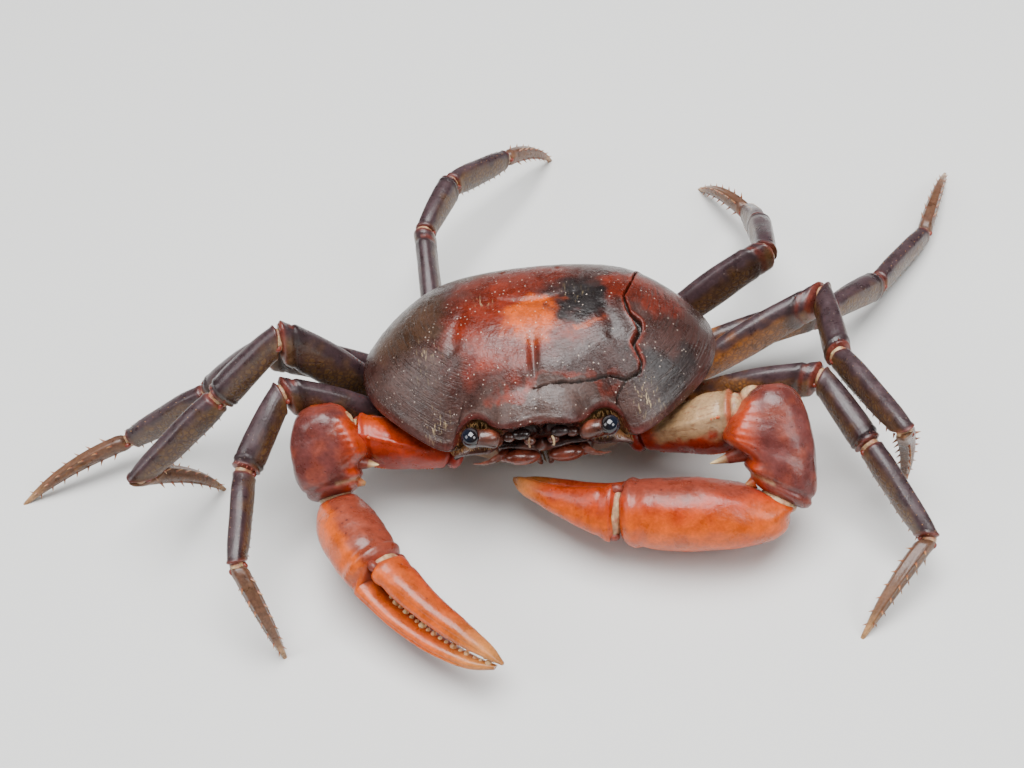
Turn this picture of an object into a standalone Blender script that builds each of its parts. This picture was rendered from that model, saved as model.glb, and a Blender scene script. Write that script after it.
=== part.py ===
# Freshwater crab, life size, standing on the tips of its walking legs.
# +Z is up, -Y is forward and +X is the crab's own left. Lengths are millimetres until
# solid() turns them into metres.
import math

import bmesh
import bpy
import numpy as np

MM = 0.001
GAP = 0.3

# The body frame: the shell's rim plane is z = 0, and the nose points along -Y.
# The whole body is then pitched nose up and lifted to stand on its legs.
BODY_PITCH = math.radians(10)
BODY_LIFT = 18.0
ORIGIN = (-5.15, 10.13, 0.0)

SHELL_WIDTH = 50.0
SHELL_DOME = 9.7
SHELL_FLOOR = -6.3
FACE_Y = -10.0
OVAL_FRONT = 18.6
OVAL_REAR = 17.9

THORAX_TOP = SHELL_FLOOR - GAP
THORAX_FLOOR = -13.2
THORAX_SIDE = 13.2
THORAX_SIDE_REAR = 11.6
THORAX_SIDE_FRONT = -7.9
THORAX_SIDE_RUN = 21.4

# Half of the shell's rim, from the middle of the front to the middle of the rear.
RIM = [
    (0.0, -18.3, 1.3),
    (2.6, -18.8, 1.1),
    (4.8, -18.5, 0.7),
    (6.4, -17.1, 0.2),
    (7.8, -15.7, 0.3),
    (9.6, -15.3, 0.0),
    (11.3, -16.0, -1.4),
    (12.5, -17.4, -3.2),
    (15.2, -16.5, -2.9),
    (19.6, -13.1, -1.7),
    (23.4, -8.9, -0.7),
    (25.0, -4.2, 0.0),
    (24.7, 0.8, -0.2),
    (22.4, 6.4, -0.8),
    (18.6, 11.2, -1.6),
    (14.0, 15.0, -2.4),
    (9.2, 17.2, -2.8),
    (4.6, 17.9, -2.8),
    (0.0, 18.0, -2.8),
]
RIM_STEPS = 3
# Rings of the crown as shares of its radius, and rings of the wall under the rim as the share of
# its depth with how far it has turned in.
CROWN_RINGS = (0.03, 0.16, 0.3, 0.44, 0.57, 0.69, 0.79, 0.87, 0.93, 0.97, 1.0)
WALL_RINGS = ((0.12, 0.25), (0.38, 1.5), (0.68, 3.2), (1.0, 5.4))

# Heading 0 points straight out sideways and 90 straight forward; rise is above the horizon.
# The last heading belongs to the dactylus, whose rise brings its tip to the floor.
LEG_LENGTHS = {
    2: (19.4, 12.0, 14.5, 15.5),
    3: (23.6, 12.5, 16.0, 17.5),
    4: (24.5, 13.0, 17.5, 19.0),
    5: (22.0, 12.0, 15.0, 16.0),
}
LEG_HIPS = {2: (20.5, -3.4), 3: (20.5, 1.5), 4: (20.0, 7.0), 5: (16.5, 13.0)}
RAISED_HIP = {(3, -1): (23.0, 2.4)}
LEG_ROOT_Y = {2: -4.2, 3: 0.6, 4: 5.8, 5: 10.9}
LEG_HIP_Z = -9.5
LEG_ROOT_Z = -9.9
LEG_POSES = {
    (2, -1): ((8, 36), (57, -27), (91, -6), 120),
    (3, -1): ((20, 57), (20, -33), (30, -26), -132),
    (4, -1): ((13, 35), (-2, -39), (2, -28), 21),
    (5, -1): ((-86, 19), (-111, 2), (-129, -17), -126),
    (2, 1): ((8, 14), (66, -12), (65, -21), 135),
    (3, 1): ((-18, 17), (90, 3), (70, 4), -54),
    (4, 1): ((-11, 4), (-42, -18), (-51, -9), -65),
    (5, 1): ((-10, 32), (-86, -22), (-89, -33), -115),
}

CHELIPED_ROOT = (11.9, -10.8, -9.7)
CHELIPED_HIP = (13.9, -11.5, -8.8)
CHELIPED_LENGTHS = {-1: (12.7, 11.8, 15.2, 21.2), 1: (13.4, 15.0, 21.1, 16.1)}
CHELIPED_POSES = {
    -1: ((-10, 13), (92, -52), (116, -1), (138, -7)),
    1: ((6, 17), (90, -40), (-176, -3), (-153, -3)),
}
CLAW_ROLL = {-1: 35.0, 1: -48.0}
# The claw leg's carpus lies beside the end of its merus: how far out, back and up it starts.
ELBOW_STEP = {-1: (4.5, 1.0, 3.8), 1: (4.5, 1.7, 3.3)}
WRIST_TURN = 0.6
CLAW_PULL = 4.0
# The carpus's inner spine, as its share of the carpus's length and its distance inwards.
SPINE_BASE = (0.6, 2.8)
SPINE_TIP = {-1: (0.68, 6.6), 1: (0.7, 8.6)}
SPINE_RADIUS = 1.6

# Half sizes (above, below, front, back) of a limb's section at stations along its length.
COXA = [(0.0, 2.4, 2.4, 2.2, 2.2), (1.0, 2.3, 2.3, 2.0, 2.0)]
MERUS = [
    (0.0, 2.1, 2.1, 1.8, 1.8),
    (0.14, 2.3, 2.3, 1.8, 1.8),
    (0.3, 2.7, 2.6, 1.9, 1.9),
    (0.55, 3.2, 2.8, 1.9, 1.9),
    (0.78, 3.0, 2.6, 1.8, 1.8),
    (0.93, 2.7, 2.6, 1.8, 1.8),
    (1.0, 2.3, 2.3, 1.6, 1.6),
]
CARPUS = [
    (0.0, 1.9, 1.8, 1.5, 1.5),
    (0.16, 2.3, 1.8, 1.6, 1.6),
    (0.55, 2.6, 2.0, 1.8, 1.8),
    (0.88, 2.5, 2.2, 1.8, 1.8),
    (1.0, 2.1, 2.0, 1.6, 1.6),
]
PROPODUS = [
    (0.0, 1.9, 1.8, 1.4, 1.4),
    (0.14, 2.3, 2.1, 1.5, 1.5),
    (0.5, 2.2, 2.1, 1.5, 1.5),
    (0.9, 1.8, 1.8, 1.3, 1.3),
    (1.0, 1.5, 1.5, 1.1, 1.1),
]
DACTYLUS = [
    (0.0, 1.2, 1.2, 1.0, 1.0),
    (0.12, 1.4, 1.3, 1.1, 1.1),
    (0.3, 1.3, 1.2, 1.05, 1.05),
    (0.5, 1.1, 1.0, 0.9, 0.9),
    (0.7, 0.85, 0.8, 0.75, 0.75),
    (0.85, 0.6, 0.6, 0.55, 0.55),
    (0.94, 0.42, 0.42, 0.4, 0.4),
    (1.0, 0.32, 0.32, 0.32, 0.32),
]
DACTYLUS_BOW = 1.3
DACTYLUS_PULL = 5.0

ARM_MERUS = {
    -1: [
        (0.0, 2.3, 2.2, 2.0, 2.0),
        (0.3, 2.3, 2.9, 2.4, 2.3),
        (0.75, 3.3, 4.3, 3.2, 2.7),
        (1.0, 3.4, 4.1, 3.0, 2.6),
    ],
    1: [
        (0.0, 2.3, 2.2, 2.0, 2.0),
        (0.3, 2.9, 3.0, 2.6, 2.5),
        (0.75, 4.3, 4.4, 3.6, 3.3),
        (1.0, 4.2, 4.1, 3.4, 3.1),
    ],
}
# From here on the sizes are above, below, outer side and inner side.
ARM_CARPUS = [
    (0.0, 3.0, 1.6, 2.6, 2.4),
    (0.12, 4.1, 2.1, 3.9, 3.3),
    (0.3, 4.6, 2.9, 4.8, 3.9),
    (0.55, 4.7, 3.5, 5.1, 4.3),
    (0.85, 4.2, 3.4, 4.5, 4.0),
    (1.0, 3.1, 3.0, 3.2, 3.0),
]
CLAW_PALM = {
    -1: [
        (0.0, 2.6, 2.4, 2.5, 2.3),
        (0.15, 3.5, 3.0, 3.6, 3.1),
        (0.36, 4.5, 3.6, 4.4, 3.7),
        (0.6, 4.9, 3.7, 4.5, 3.8),
        (0.86, 4.9, 3.5, 4.2, 3.6),
        (1.0, 4.6, 3.3, 3.9, 3.4),
    ],
    1: [
        (0.0, 2.9, 2.7, 2.8, 2.6),
        (0.15, 4.2, 3.9, 4.1, 3.6),
        (0.36, 5.2, 5.0, 5.0, 4.4),
        (0.6, 5.5, 5.3, 5.2, 4.5),
        (0.86, 5.3, 5.0, 5.0, 4.3),
        (1.0, 5.0, 4.7, 4.7, 4.1),
    ],
}
CLAW_FIXED_FINGER = {
    -1: [
        (0.0, 0.0, 3.2, 3.4, 3.0),
        (0.12, -0.5, 3.1, 2.9, 2.6),
        (0.38, -0.6, 3.0, 2.3, 2.1),
        (0.67, -0.3, 2.5, 1.7, 1.6),
        (0.9, 0.2, 1.3, 1.0, 1.0),
        (1.0, 0.75, 0.05, 0.4, 0.4),
    ],
    1: [
        (0.0, 0.0, 4.6, 3.9, 3.4),
        (0.12, -0.6, 4.2, 3.3, 2.9),
        (0.38, -0.8, 3.7, 2.5, 2.3),
        (0.67, -0.5, 3.0, 1.8, 1.7),
        (0.9, 0.2, 1.5, 1.0, 1.0),
        (1.0, 0.75, 0.0, 0.4, 0.4),
    ],
}
CLAW_FINGER = {
    -1: [
        (0.0, 4.4, -0.6, 2.9, 2.6),
        (0.12, 4.7, -0.7, 2.9, 2.6),
        (0.4, 4.3, -0.8, 2.3, 2.1),
        (0.7, 3.7, -0.9, 1.7, 1.6),
        (0.92, 2.4, -1.2, 0.95, 0.95),
        (1.0, 1.5, -1.2, 0.3, 0.3),
    ],
    1: [
        (0.0, 4.9, -0.6, 4.3, 3.8),
        (0.12, 5.1, -0.8, 4.1, 3.6),
        (0.4, 4.6, -0.8, 3.0, 2.7),
        (0.7, 3.9, -0.9, 2.0, 1.9),
        (0.92, 2.5, -1.2, 1.05, 1.05),
        (1.0, 1.5, -1.2, 0.3, 0.3),
    ],
}
# Where palm and fingers begin and end, before or past the hinge and the tip.
PALM_END = -0.25
FIXED_START = 0.15
FIXED_END = -0.3
FINGER_START = 0.55
FINGER_END = 0.4
FIXED_TOOTH = 0.45
FINGER_TOOTH = 0.25

THORAX_TOP_HALF = [
    (0.0, -12.2),
    (6.3, -12.2),
    (7.2, -14.0),
    (10.2, -12.9),
    (THORAX_SIDE, -7.9),
    (THORAX_SIDE_REAR, 13.5),
    (8.0, 16.6),
    (0.0, 17.2),
]
THORAX_FLOOR_HALF = [
    (0.0, -7.9),
    (5.6, -7.9),
    (6.3, -9.3),
    (8.8, -8.8),
    (THORAX_SIDE, -6.6),
    (THORAX_SIDE_REAR, 12.2),
    (7.4, 13.6),
    (0.0, 13.9),
]
TAIL_LINE = [(0, 18.9, -9.4), (0, 17.4, -12.6), (0, 13.4, -14.3), (0, 5.0, -14.5), (0, -4.2, -14.3)]
TAIL_WIDTHS = ([0, 0.2, 0.55, 0.8, 1.0], [4.6, 5.4, 4.0, 2.5, 1.0])
TAIL_THICKNESS = 0.62

EYE = (9.3, -17.75, -1.0)
EYE_RADII = (1.45, 1.35, 1.35)
STALK_ROOT = (5.6, -17.0, -2.7)
STALK_END = (8.1, -17.6, -1.7)
STALK_RADII = [(0.0, 0.85), (0.35, 0.95), (0.7, 1.05), (1.0, 0.9)]
# Share of the mouth plate's length, half width and half thickness.
MOUTH_PLATE = [(0.0, 2.3, 0.5), (0.12, 2.6, 0.75), (0.5, 2.8, 0.85), (0.88, 2.3, 0.7), (1.0, 1.6, 0.5)]
MOUTH_TOP = (3.15, -13.9, -6.7)
MOUTH_RUN = (0.0, 4.4, -6.2)
FEELER = [(6.0, -18.6, -4.2), (6.9, -19.6, -3.9), (8.0, -20.6, -3.3), (9.1, -21.4, -2.5)]
FEELER_RADII = (0.55, 0.4, 0.3, 0.2)

UP = np.array([0.0, 0.0, 1.0])
LEG_SIDES = 10
CLAW_SIDES = 14
DACTYLUS_SIDES = 8
FEELER_SIDES = 6
PLATE_SIDES = 10
SMOOTH = 0.82


def pitched(points):
    """Turns body-frame vectors nose up."""
    points = np.asarray(points, float)
    turned = points.copy()
    turned[..., 1] = points[..., 1] * math.cos(BODY_PITCH) + points[..., 2] * math.sin(BODY_PITCH)
    turned[..., 2] = -points[..., 1] * math.sin(BODY_PITCH) + points[..., 2] * math.cos(BODY_PITCH)
    return turned


def placed(points):
    """Body-frame points where the body stands."""
    return pitched(points) + np.array([0.0, 0.0, BODY_LIFT])


def unit(vector):
    return vector / np.linalg.norm(vector)


def direction(side, heading, rise):
    heading, rise = math.radians(heading), math.radians(rise)
    level = math.cos(rise)
    return np.array([side * math.cos(heading) * level, -math.sin(heading) * level, math.sin(rise)])


def through(points, samples):
    """A Catmull-Rom curve through the points, with this many samples per interval."""
    points = np.asarray(points, float)
    padded = np.vstack([2 * points[0] - points[1], points, 2 * points[-1] - points[-2]])
    curve = []
    for i in range(len(points) - 1):
        before, start, end, after = padded[i : i + 4]
        for t in np.arange(samples) / samples:
            curve.append(
                0.5
                * (
                    2 * start
                    + (end - before) * t
                    + (2 * before - 5 * start + 4 * end - after) * t**2
                    + (3 * start - before - 3 * end + after) * t**3
                )
            )
    curve.append(points[-1])
    return np.array(curve)


def eased(u):
    u = np.clip(u, 0.0, 1.0)
    return u * u * (3 - 2 * u)


def bump(distance, width):
    return np.exp(-((distance / width) ** 2))


def material(name, colour, roughness):
    made = bpy.data.materials.new(name)
    made.use_nodes = True
    shader = made.node_tree.nodes["Principled BSDF"]
    shader.inputs["Base Color"].default_value = (*colour, 1.0)
    shader.inputs["Roughness"].default_value = roughness
    shader.inputs["Metallic"].default_value = 0.0
    return made


def tube(rings):
    """A grid wrapped round the rings, closed at both ends."""
    count, sides = len(rings), len(rings[0])
    bm = bmesh.new()
    bmesh.ops.create_grid(bm, x_segments=count - 1, y_segments=sides, size=1.0)
    bm.verts.ensure_lookup_table()
    seam = []
    for j in range(sides + 1):
        for i in range(count):
            vert = bm.verts[j * count + i]
            vert.co = (np.asarray(rings[i][j % sides]) - ORIGIN) * MM
            if j in (0, sides):
                seam.append(vert)
    bmesh.ops.remove_doubles(bm, verts=seam, dist=1e-7)
    bmesh.ops.holes_fill(bm, edges=bm.edges, sides=0)
    bmesh.ops.recalc_face_normals(bm, faces=bm.faces)
    return bm


def ball(centre, size, segments=14, rings=9):
    bm = bmesh.new()
    bmesh.ops.create_uvsphere(bm, u_segments=segments, v_segments=rings, radius=1.0)
    for vert in bm.verts:
        vert.co = (np.asarray(centre) + np.array(vert.co) * size - ORIGIN) * MM
    return bm


def spine(base, tip, radius, sides=6):
    """A cone whose blunt root is sunk in what it grows from."""
    axis = unit(tip - base)
    across = unit(np.cross(axis, [0.31, 0.2, 0.93]))
    up = np.cross(axis, across)
    rings = []
    for u, scale in ((0.0, 1.0), (0.55, 0.55), (1.0, 0.12)):
        centre = base + (tip - base) * u
        turns = np.arange(sides) * 2 * math.pi / sides
        rings.append([centre + radius * scale * (math.cos(a) * across + math.sin(a) * up) for a in turns])
    return tube(rings)


def add(name, bm, look):
    mesh = bpy.data.meshes.new(name)
    bm.to_mesh(mesh)
    bm.free()
    mesh.shade_smooth()
    mesh.set_sharp_from_angle(angle=math.radians(40))
    mesh.materials.append(look)
    node = bpy.data.objects.new(name, mesh)
    crab.objects.link(node)
    return node


def fused(name, bm, extras, look):
    """One body of a form and the small forms rooted in it."""
    node = add(name, bm, look)
    pieces = bpy.data.collections.new(name + "_pieces")
    for i, extra in enumerate(extras):
        mesh = bpy.data.meshes.new(f"{name}_piece_{i}")
        extra.to_mesh(mesh)
        extra.free()
        pieces.objects.link(bpy.data.objects.new(mesh.name, mesh))
    union = node.modifiers.new("union", "BOOLEAN")
    union.operation = "UNION"
    union.operand_type = "COLLECTION"
    union.solver = "EXACT"
    union.collection = pieces
    bpy.context.view_layer.update()
    graph = bpy.context.evaluated_depsgraph_get()
    joined = bpy.data.meshes.new_from_object(node.evaluated_get(graph))
    node.modifiers.clear()
    node.data = joined
    for piece in list(pieces.objects):
        bpy.data.objects.remove(piece)
    bpy.data.collections.remove(pieces)
    return node


def steepest(along):
    """The direction nearest to straight up across a limb."""
    return unit(UP - along[2] * along)


def section(centre, along, up, sizes, sides, planes=()):
    """One section of a limb. Each plane slides the points along the limb towards it: it is given
    as its normal, how far past it they stop, and the share of the way that they slide."""
    above = unit(up - np.dot(up, along) * along)
    across = np.cross(along, above)
    top, bottom, front, back = sizes
    ring = []
    for j in range(sides):
        angle = 2 * math.pi * (j + 0.5) / sides
        c, s = math.cos(angle), math.sin(angle)
        wide = (front if c > 0 else back) * math.copysign(abs(c) ** SMOOTH, c)
        tall = (top if s > 0 else bottom) * math.copysign(abs(s) ** SMOOTH, s)
        offset = across * wide + above * tall
        shift = 0.0
        for normal, stop, share in planes:
            shift += share * (stop - np.dot(offset, normal)) / np.dot(along, normal)
        ring.append(centre + offset + along * shift)
    return ring


def limb_rings(a, b, stations, start=None, end=None, sides=LEG_SIDES, bow=0.0, pull=1.0):
    """Sections of a limb from a to b, stopping short of its start and end planes. A larger pull
    keeps the planes' slant nearer to the ends."""
    up = steepest(unit(b - a))
    path = [a + (b - a) * station[0] + up * (bow * 4 * station[0] * (1 - station[0])) for station in stations]
    rings = []
    for i, (u, *sizes) in enumerate(stations):
        along = unit(path[min(i + 1, len(path) - 1)] - path[max(i - 1, 0)])
        planes = []
        if start is not None:
            planes.append((start[0], start[1], (1 - u) ** pull))
        if end is not None:
            planes.append((end[0], -end[1], u**pull))
        rings.append(section(path[i], along, up, sizes, sides, planes))
    return rings


def plate_ring(middle, half, normal, thick, roundness):
    """A flat oval section of a plate, as wide as half on either side."""
    ring = []
    for j in range(PLATE_SIDES):
        angle = 2 * math.pi * j / PLATE_SIDES
        across = half * math.copysign(abs(math.cos(angle)) ** roundness, math.cos(angle))
        ring.append(middle + np.array([across, 0.0, 0.0]) + normal * thick * math.sin(angle))
    return ring


def side_name(side):
    return "left" if side > 0 else "right"


# The shell


def rim_radius(angle):
    """Radius of the plain oval that the shell's crown follows, without the orbits' notches."""
    across = SHELL_WIDTH / 2
    along = OVAL_REAR if math.sin(angle) > 0 else OVAL_FRONT
    power = 2.25
    return (abs(math.cos(angle) / across) ** power + abs(math.sin(angle) / along) ** power) ** (-1 / power)


def crown(x, y, inward):
    """Height of the shell's back above its rim plane: a dome, steeper at the sides than in front."""
    forward = eased((-y - 2.0) / 16.0) * bump(x, 17.0)
    rearward = eased((y + 1.0) / 15.0) * bump(x, 24.0)
    sharp = 2.9 - 1.15 * forward - 0.9 * rearward
    fall = 0.66 + 0.2 * forward + 0.42 * rearward
    dome = SHELL_DOME * max(0.0, 1 - inward**sharp) ** fall
    lobes = 0.55 * bump(math.hypot(abs(x) - 12.5, y - 1.0), 7.5)
    crest = 0.75 * bump(y + 12.6 + 0.03 * x * x, 1.9) * bump(x, 8.0)
    furrow = -0.7 * bump(x, 0.8) * bump(y + 12.9, 2.4)
    step = -0.28 * bump(y + 14.9 + 0.012 * x * x, 0.8) * bump(x, 7.5)
    groove = -0.34 * bump(y + 1.6 + 0.9 * math.cos(x / 3.0), 0.9) * bump(x, 7.0)
    neck = -0.42 * bump(math.hypot(abs(x) - 6.2, (y + 1.3) * 0.55), 1.4)
    return dome + (lobes + crest + furrow + step + groove + neck) * (1 - inward**6)


def shell():
    half = through(RIM, RIM_STEPS)
    rim = np.vstack([half, (half * (-1, 1, 1))[-2:0:-1]])
    rings = []
    for inward in CROWN_RINGS:
        blend = eased((inward - 0.62) / 0.38)
        ring = []
        for x, y, z in rim:
            reach = math.hypot(x, y)
            oval = rim_radius(math.atan2(y, x))
            share = inward * (oval + (reach - oval) * blend) / reach
            ring.append((x * share, y * share, crown(x * share, y * share, inward) + z * blend))
        rings.append(placed(ring))
    # The wall under the rim turns in, hollowed where the eye lies in its orbit.
    for depth, inset in WALL_RINGS:
        ring = []
        for x, y, z in rim:
            reach = math.hypot(x, y)
            orbit = bump(abs(x) - 9.2, 3.0) if y < FACE_Y else 0.0
            brow = bump(x, 6.0) if y < FACE_Y else 0.0
            hollow = orbit * 1.5 * bump(depth - 0.4, 0.3) + brow * 1.4 * depth
            keep = 1 - 0.45 * orbit * eased((depth - 0.45) / 0.3)
            share = (reach - inset * keep - hollow) / reach
            ring.append((x * share, y * share, z + (SHELL_FLOOR - z) * depth))
        rings.append(placed(ring))
    add("carapace", tube(rings), shell_brown)


def thorax():
    rings = []
    for depth, scale in ((0.0, 1.0), (0.35, 1.0), (0.7, 1.0), (0.92, 1.0), (1.0, 0.93)):
        level = THORAX_TOP + (THORAX_FLOOR - THORAX_TOP) * depth
        half = (np.array(THORAX_TOP_HALF) * (1 - depth) + np.array(THORAX_FLOOR_HALF) * depth) * scale
        ring = [(x, y, level) for x, y in half] + [(-x, y, level) for x, y in half[-2:0:-1]]
        rings.append(placed(ring))
    add("thorax", tube(rings), belly_tan)


def abdomen():
    """The narrow tail flap, folded forward under the breastplate."""
    line = through(TAIL_LINE, 5)
    rings = []
    for i, point in enumerate(line):
        along = unit(line[min(i + 1, len(line) - 1)] - line[max(i - 1, 0)])
        seam = 0.95 if i % 3 == 2 else 1.0
        half = float(np.interp(i / (len(line) - 1), *TAIL_WIDTHS)) * seam
        outward = np.cross(along, [1.0, 0.0, 0.0])
        rings.append(placed(plate_ring(point, half, outward, TAIL_THICKNESS * seam, 0.7)))
    add("abdomen", tube(rings), belly_tan)


def mirrored(point, side):
    return np.array(point) * (side, 1, 1)


def face(side):
    name = side_name(side)
    eye, root, end = (placed(mirrored(point, side)) for point in (EYE, STALK_ROOT, STALK_END))
    add(f"eye_{name}", ball(eye, EYE_RADII), cornea_black)
    stations = [(u, radius, radius, radius, radius) for u, radius in STALK_RADII]
    add(f"eye_stalk_{name}", tube(limb_rings(root, end, stations, None, (unit(eye - root), 0.0))), limb_brown)
    top, run = mirrored(MOUTH_TOP, side), np.array(MOUTH_RUN)
    normal = unit(np.array([0.0, run[2], -run[1]]))
    rings = [placed(plate_ring(top + run * u, half, normal, thick, 0.6)) for u, half, thick in MOUTH_PLATE]
    add(f"maxilliped_{name}", tube(rings), mouth_red)
    path = [placed(mirrored(point, side)) for point in FEELER]
    rings = []
    for i, radius in enumerate(FEELER_RADII):
        along = unit(path[min(i + 1, len(path) - 1)] - path[max(i - 1, 0)])
        rings.append(section(path[i], along, UP, (radius,) * 4, FEELER_SIDES))
    add(f"antenna_{name}", tube(rings), limb_brown)


def chain(start, side, poses, lengths):
    """The joints that follow a start along a limb, and the direction of each segment."""
    joints, aims = [start], []
    for pose, length in zip(poses, lengths):
        aims.append(direction(side, *pose))
        joints.append(joints[-1] + aims[-1] * length)
    return joints, aims


def walking_leg(number, side):
    name = f"leg{number}_{side_name(side)}"
    lengths = LEG_LENGTHS[number]
    hip_x, hip_y = RAISED_HIP.get((number, side), LEG_HIPS[number])
    root_y = LEG_ROOT_Y[number]
    lean = (THORAX_SIDE - THORAX_SIDE_REAR) / THORAX_SIDE_RUN
    root_x = THORAX_SIDE - (root_y - THORAX_SIDE_FRONT) * lean
    root = placed((side * root_x, root_y, LEG_ROOT_Z))
    wall = unit(pitched((side * 1.0, lean, 0.0)))
    hip = placed((side * hip_x, hip_y, LEG_HIP_Z))
    *poses, last_heading = LEG_POSES[number, side]
    joints, aims = chain(hip, side, poses, lengths)
    drop = -math.degrees(math.asin(joints[-1][2] / lengths[3]))
    aims.append(direction(side, last_heading, drop))
    joints.append(joints[-1] + aims[-1] * lengths[3])
    coxa_aim = unit(hip - root)
    planes = [unit(coxa_aim + aims[0])]
    planes += [unit(aims[i] + aims[i + 1]) for i in range(3)]

    base = limb_rings(root, hip, COXA, (wall, GAP), (planes[0], 0.0))
    upper = limb_rings(joints[0], joints[1], MERUS, (planes[0], 0.0), (planes[1], GAP / 2))
    add(f"{name}_merus", tube(base[:1] + upper), leg_brown)
    for index, (part, stations) in enumerate((("carpus", CARPUS), ("propodus", PROPODUS)), start=1):
        ends = (planes[index], GAP / 2), (planes[index + 1], GAP / 2)
        add(f"{name}_{part}", tube(limb_rings(joints[index], joints[index + 1], stations, *ends)), leg_brown)
    ends = (planes[3], GAP / 2), (-UP, 0.0)
    rings = limb_rings(joints[3], joints[4], DACTYLUS, *ends, DACTYLUS_SIDES, DACTYLUS_BOW, DACTYLUS_PULL)
    add(f"{name}_dactylus", tube(rings), leg_brown)


def handed(sizes, side):
    """Above, below, outer and inner sizes in the order above, below, front, back."""
    top, bottom, outer, inner = sizes
    return (top, bottom, inner, outer) if side > 0 else (top, bottom, outer, inner)


def cheliped(side):
    name = f"cheliped_{side_name(side)}"
    merus_length, carpus_length, palm_length, finger_length = CHELIPED_LENGTHS[side]
    aims = [direction(side, *pose) for pose in CHELIPED_POSES[side]]
    root = placed(mirrored(CHELIPED_ROOT, side))
    hip = placed(mirrored(CHELIPED_HIP, side))
    coxa_aim = unit(hip - root)
    shoulder = unit(coxa_aim + aims[0])
    outward = unit(aims[0] - np.dot(aims[0], aims[1]) * aims[1])
    merus_end = hip + aims[0] * merus_length
    elbow = merus_end + mirrored(ELBOW_STEP[side], side)
    wrist = elbow + aims[1] * carpus_length
    wrist_plane = unit(aims[1] + WRIST_TURN * aims[2])

    base = limb_rings(root, hip, COXA, (coxa_aim, 2 * GAP), (shoulder, 0.0), CLAW_SIDES)
    ends = (shoulder, 0.0), (outward, GAP / 2)
    upper = limb_rings(hip, merus_end, ARM_MERUS[side], *ends, CLAW_SIDES)
    add(f"{name}_merus", tube(base[:1] + upper), claw_orange)

    stations = [(u, *handed(sizes, side)) for u, *sizes in ARM_CARPUS]
    ends = (aims[1], 0.0), (wrist_plane, GAP / 2)
    rings = limb_rings(elbow, wrist, stations, *ends, CLAW_SIDES)
    inner = np.cross(aims[1], steepest(aims[1])) * side
    along, out = SPINE_BASE
    base = elbow + aims[1] * carpus_length * along + inner * out
    along, out = SPINE_TIP[side]
    tip = elbow + aims[1] * carpus_length * along + inner * out
    fused(f"{name}_carpus", tube(rings), [spine(base, tip, SPINE_RADIUS)], claw_orange)

    hinge = wrist + aims[2] * palm_length
    claw(name, side, wrist, hinge, hinge + aims[3] * finger_length, (wrist_plane, GAP / 2))


def claw(name, side, wrist, hinge, tip, start):
    """The palm runs on into the fixed finger, and the movable finger stands on its upper corner."""
    palm_length, finger_length = np.linalg.norm(hinge - wrist), np.linalg.norm(tip - hinge)
    total = palm_length + finger_length
    along = unit(tip - wrist)
    upright = steepest(along)
    roll = math.radians(CLAW_ROLL[side])
    up = unit(upright * math.cos(roll) + side * np.cross(along, upright) * math.sin(roll))
    palm = [(u * (palm_length + PALM_END), *sizes) for u, *sizes in CLAW_PALM[side]]
    fixed = stretched(CLAW_FIXED_FINGER[side], palm_length + FIXED_START, total + FIXED_END)
    moving = stretched(CLAW_FINGER[side], palm_length + FINGER_START, total + FINGER_END)
    palm_steps = np.linspace(0.0, palm[-1][0], 8)
    fixed_steps = np.linspace(fixed[0][0], fixed[-1][0], 17)
    moving_steps = np.linspace(moving[0][0], moving[-1][0], 16)
    palm_sizes = [sizes_at(palm, step) for step in palm_steps]
    fixed_sizes = [sizes_at(fixed, step) for step in fixed_steps]
    moving_sizes = [sizes_at(moving, step) for step in moving_steps]
    for i in range(3, 15, 2):
        fixed_sizes[i][0] += FIXED_TOOTH
    for i in range(3, 14, 2):
        moving_sizes[i][1] += FINGER_TOOTH
    curve = wrist, hinge, tip, palm_length, total, up
    rings = claw_rings(curve, [*palm_steps, *fixed_steps], palm_sizes + fixed_sizes, side, start)
    add(f"{name}_palm", tube(rings), claw_orange)
    add(f"{name}_finger", tube(claw_rings(curve, moving_steps, moving_sizes, side)), claw_orange)


def stretched(table, start, end):
    """The table's shares of a length, turned into distances from start to end."""
    return [(start + u * (end - start), *sizes) for u, *sizes in table]


def sizes_at(table, step):
    columns = np.array(table).T
    return [float(np.interp(step, columns[0], column)) for column in columns[1:]]


def claw_rings(curve, steps, sizes, side, start=None):
    """Upright sections along the claw's own centre line, so that the fingers stay parallel."""
    wrist, hinge, tip, palm_length, total, up = curve
    bend = palm_length / total
    turn_point = (hinge - (1 - bend) ** 2 * wrist - bend**2 * tip) / (2 * bend * (1 - bend))
    first, second = unit(hinge - wrist), unit(tip - hinge)
    rings = []
    for step, (top, bottom, outer, inner) in zip(steps, sizes):
        u = step / total
        turn = eased(step / (2 * palm_length))
        along = unit(first * (1 - turn) + second * turn)
        above = unit(up - np.dot(up, along) * along)
        centre = (1 - u) ** 2 * wrist + 2 * u * (1 - u) * turn_point + u * u * tip
        centre = centre + above * (top - bottom) / 2
        half = (top + bottom) / 2
        planes = [(*start, (1 - u) ** CLAW_PULL)] if start is not None else []
        rings.append(section(centre, along, up, handed((half, half, outer, inner), side), CLAW_SIDES, planes))
    return rings


for old in list(bpy.data.objects):
    bpy.data.objects.remove(old)
crab = bpy.data.collections.new("freshwater_crab")
bpy.context.scene.collection.children.link(crab)

shell_brown = material("shell_brown", (0.16, 0.06, 0.045), 0.3)
leg_brown = material("leg_brown", (0.17, 0.1, 0.09), 0.4)
limb_brown = material("limb_brown", (0.12, 0.05, 0.04), 0.4)
claw_orange = material("claw_orange", (0.62, 0.16, 0.04), 0.35)
belly_tan = material("belly_tan", (0.5, 0.36, 0.24), 0.5)
mouth_red = material("mouth_red", (0.2, 0.06, 0.04), 0.35)
cornea_black = material("cornea_black", (0.01, 0.01, 0.015), 0.05)

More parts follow.
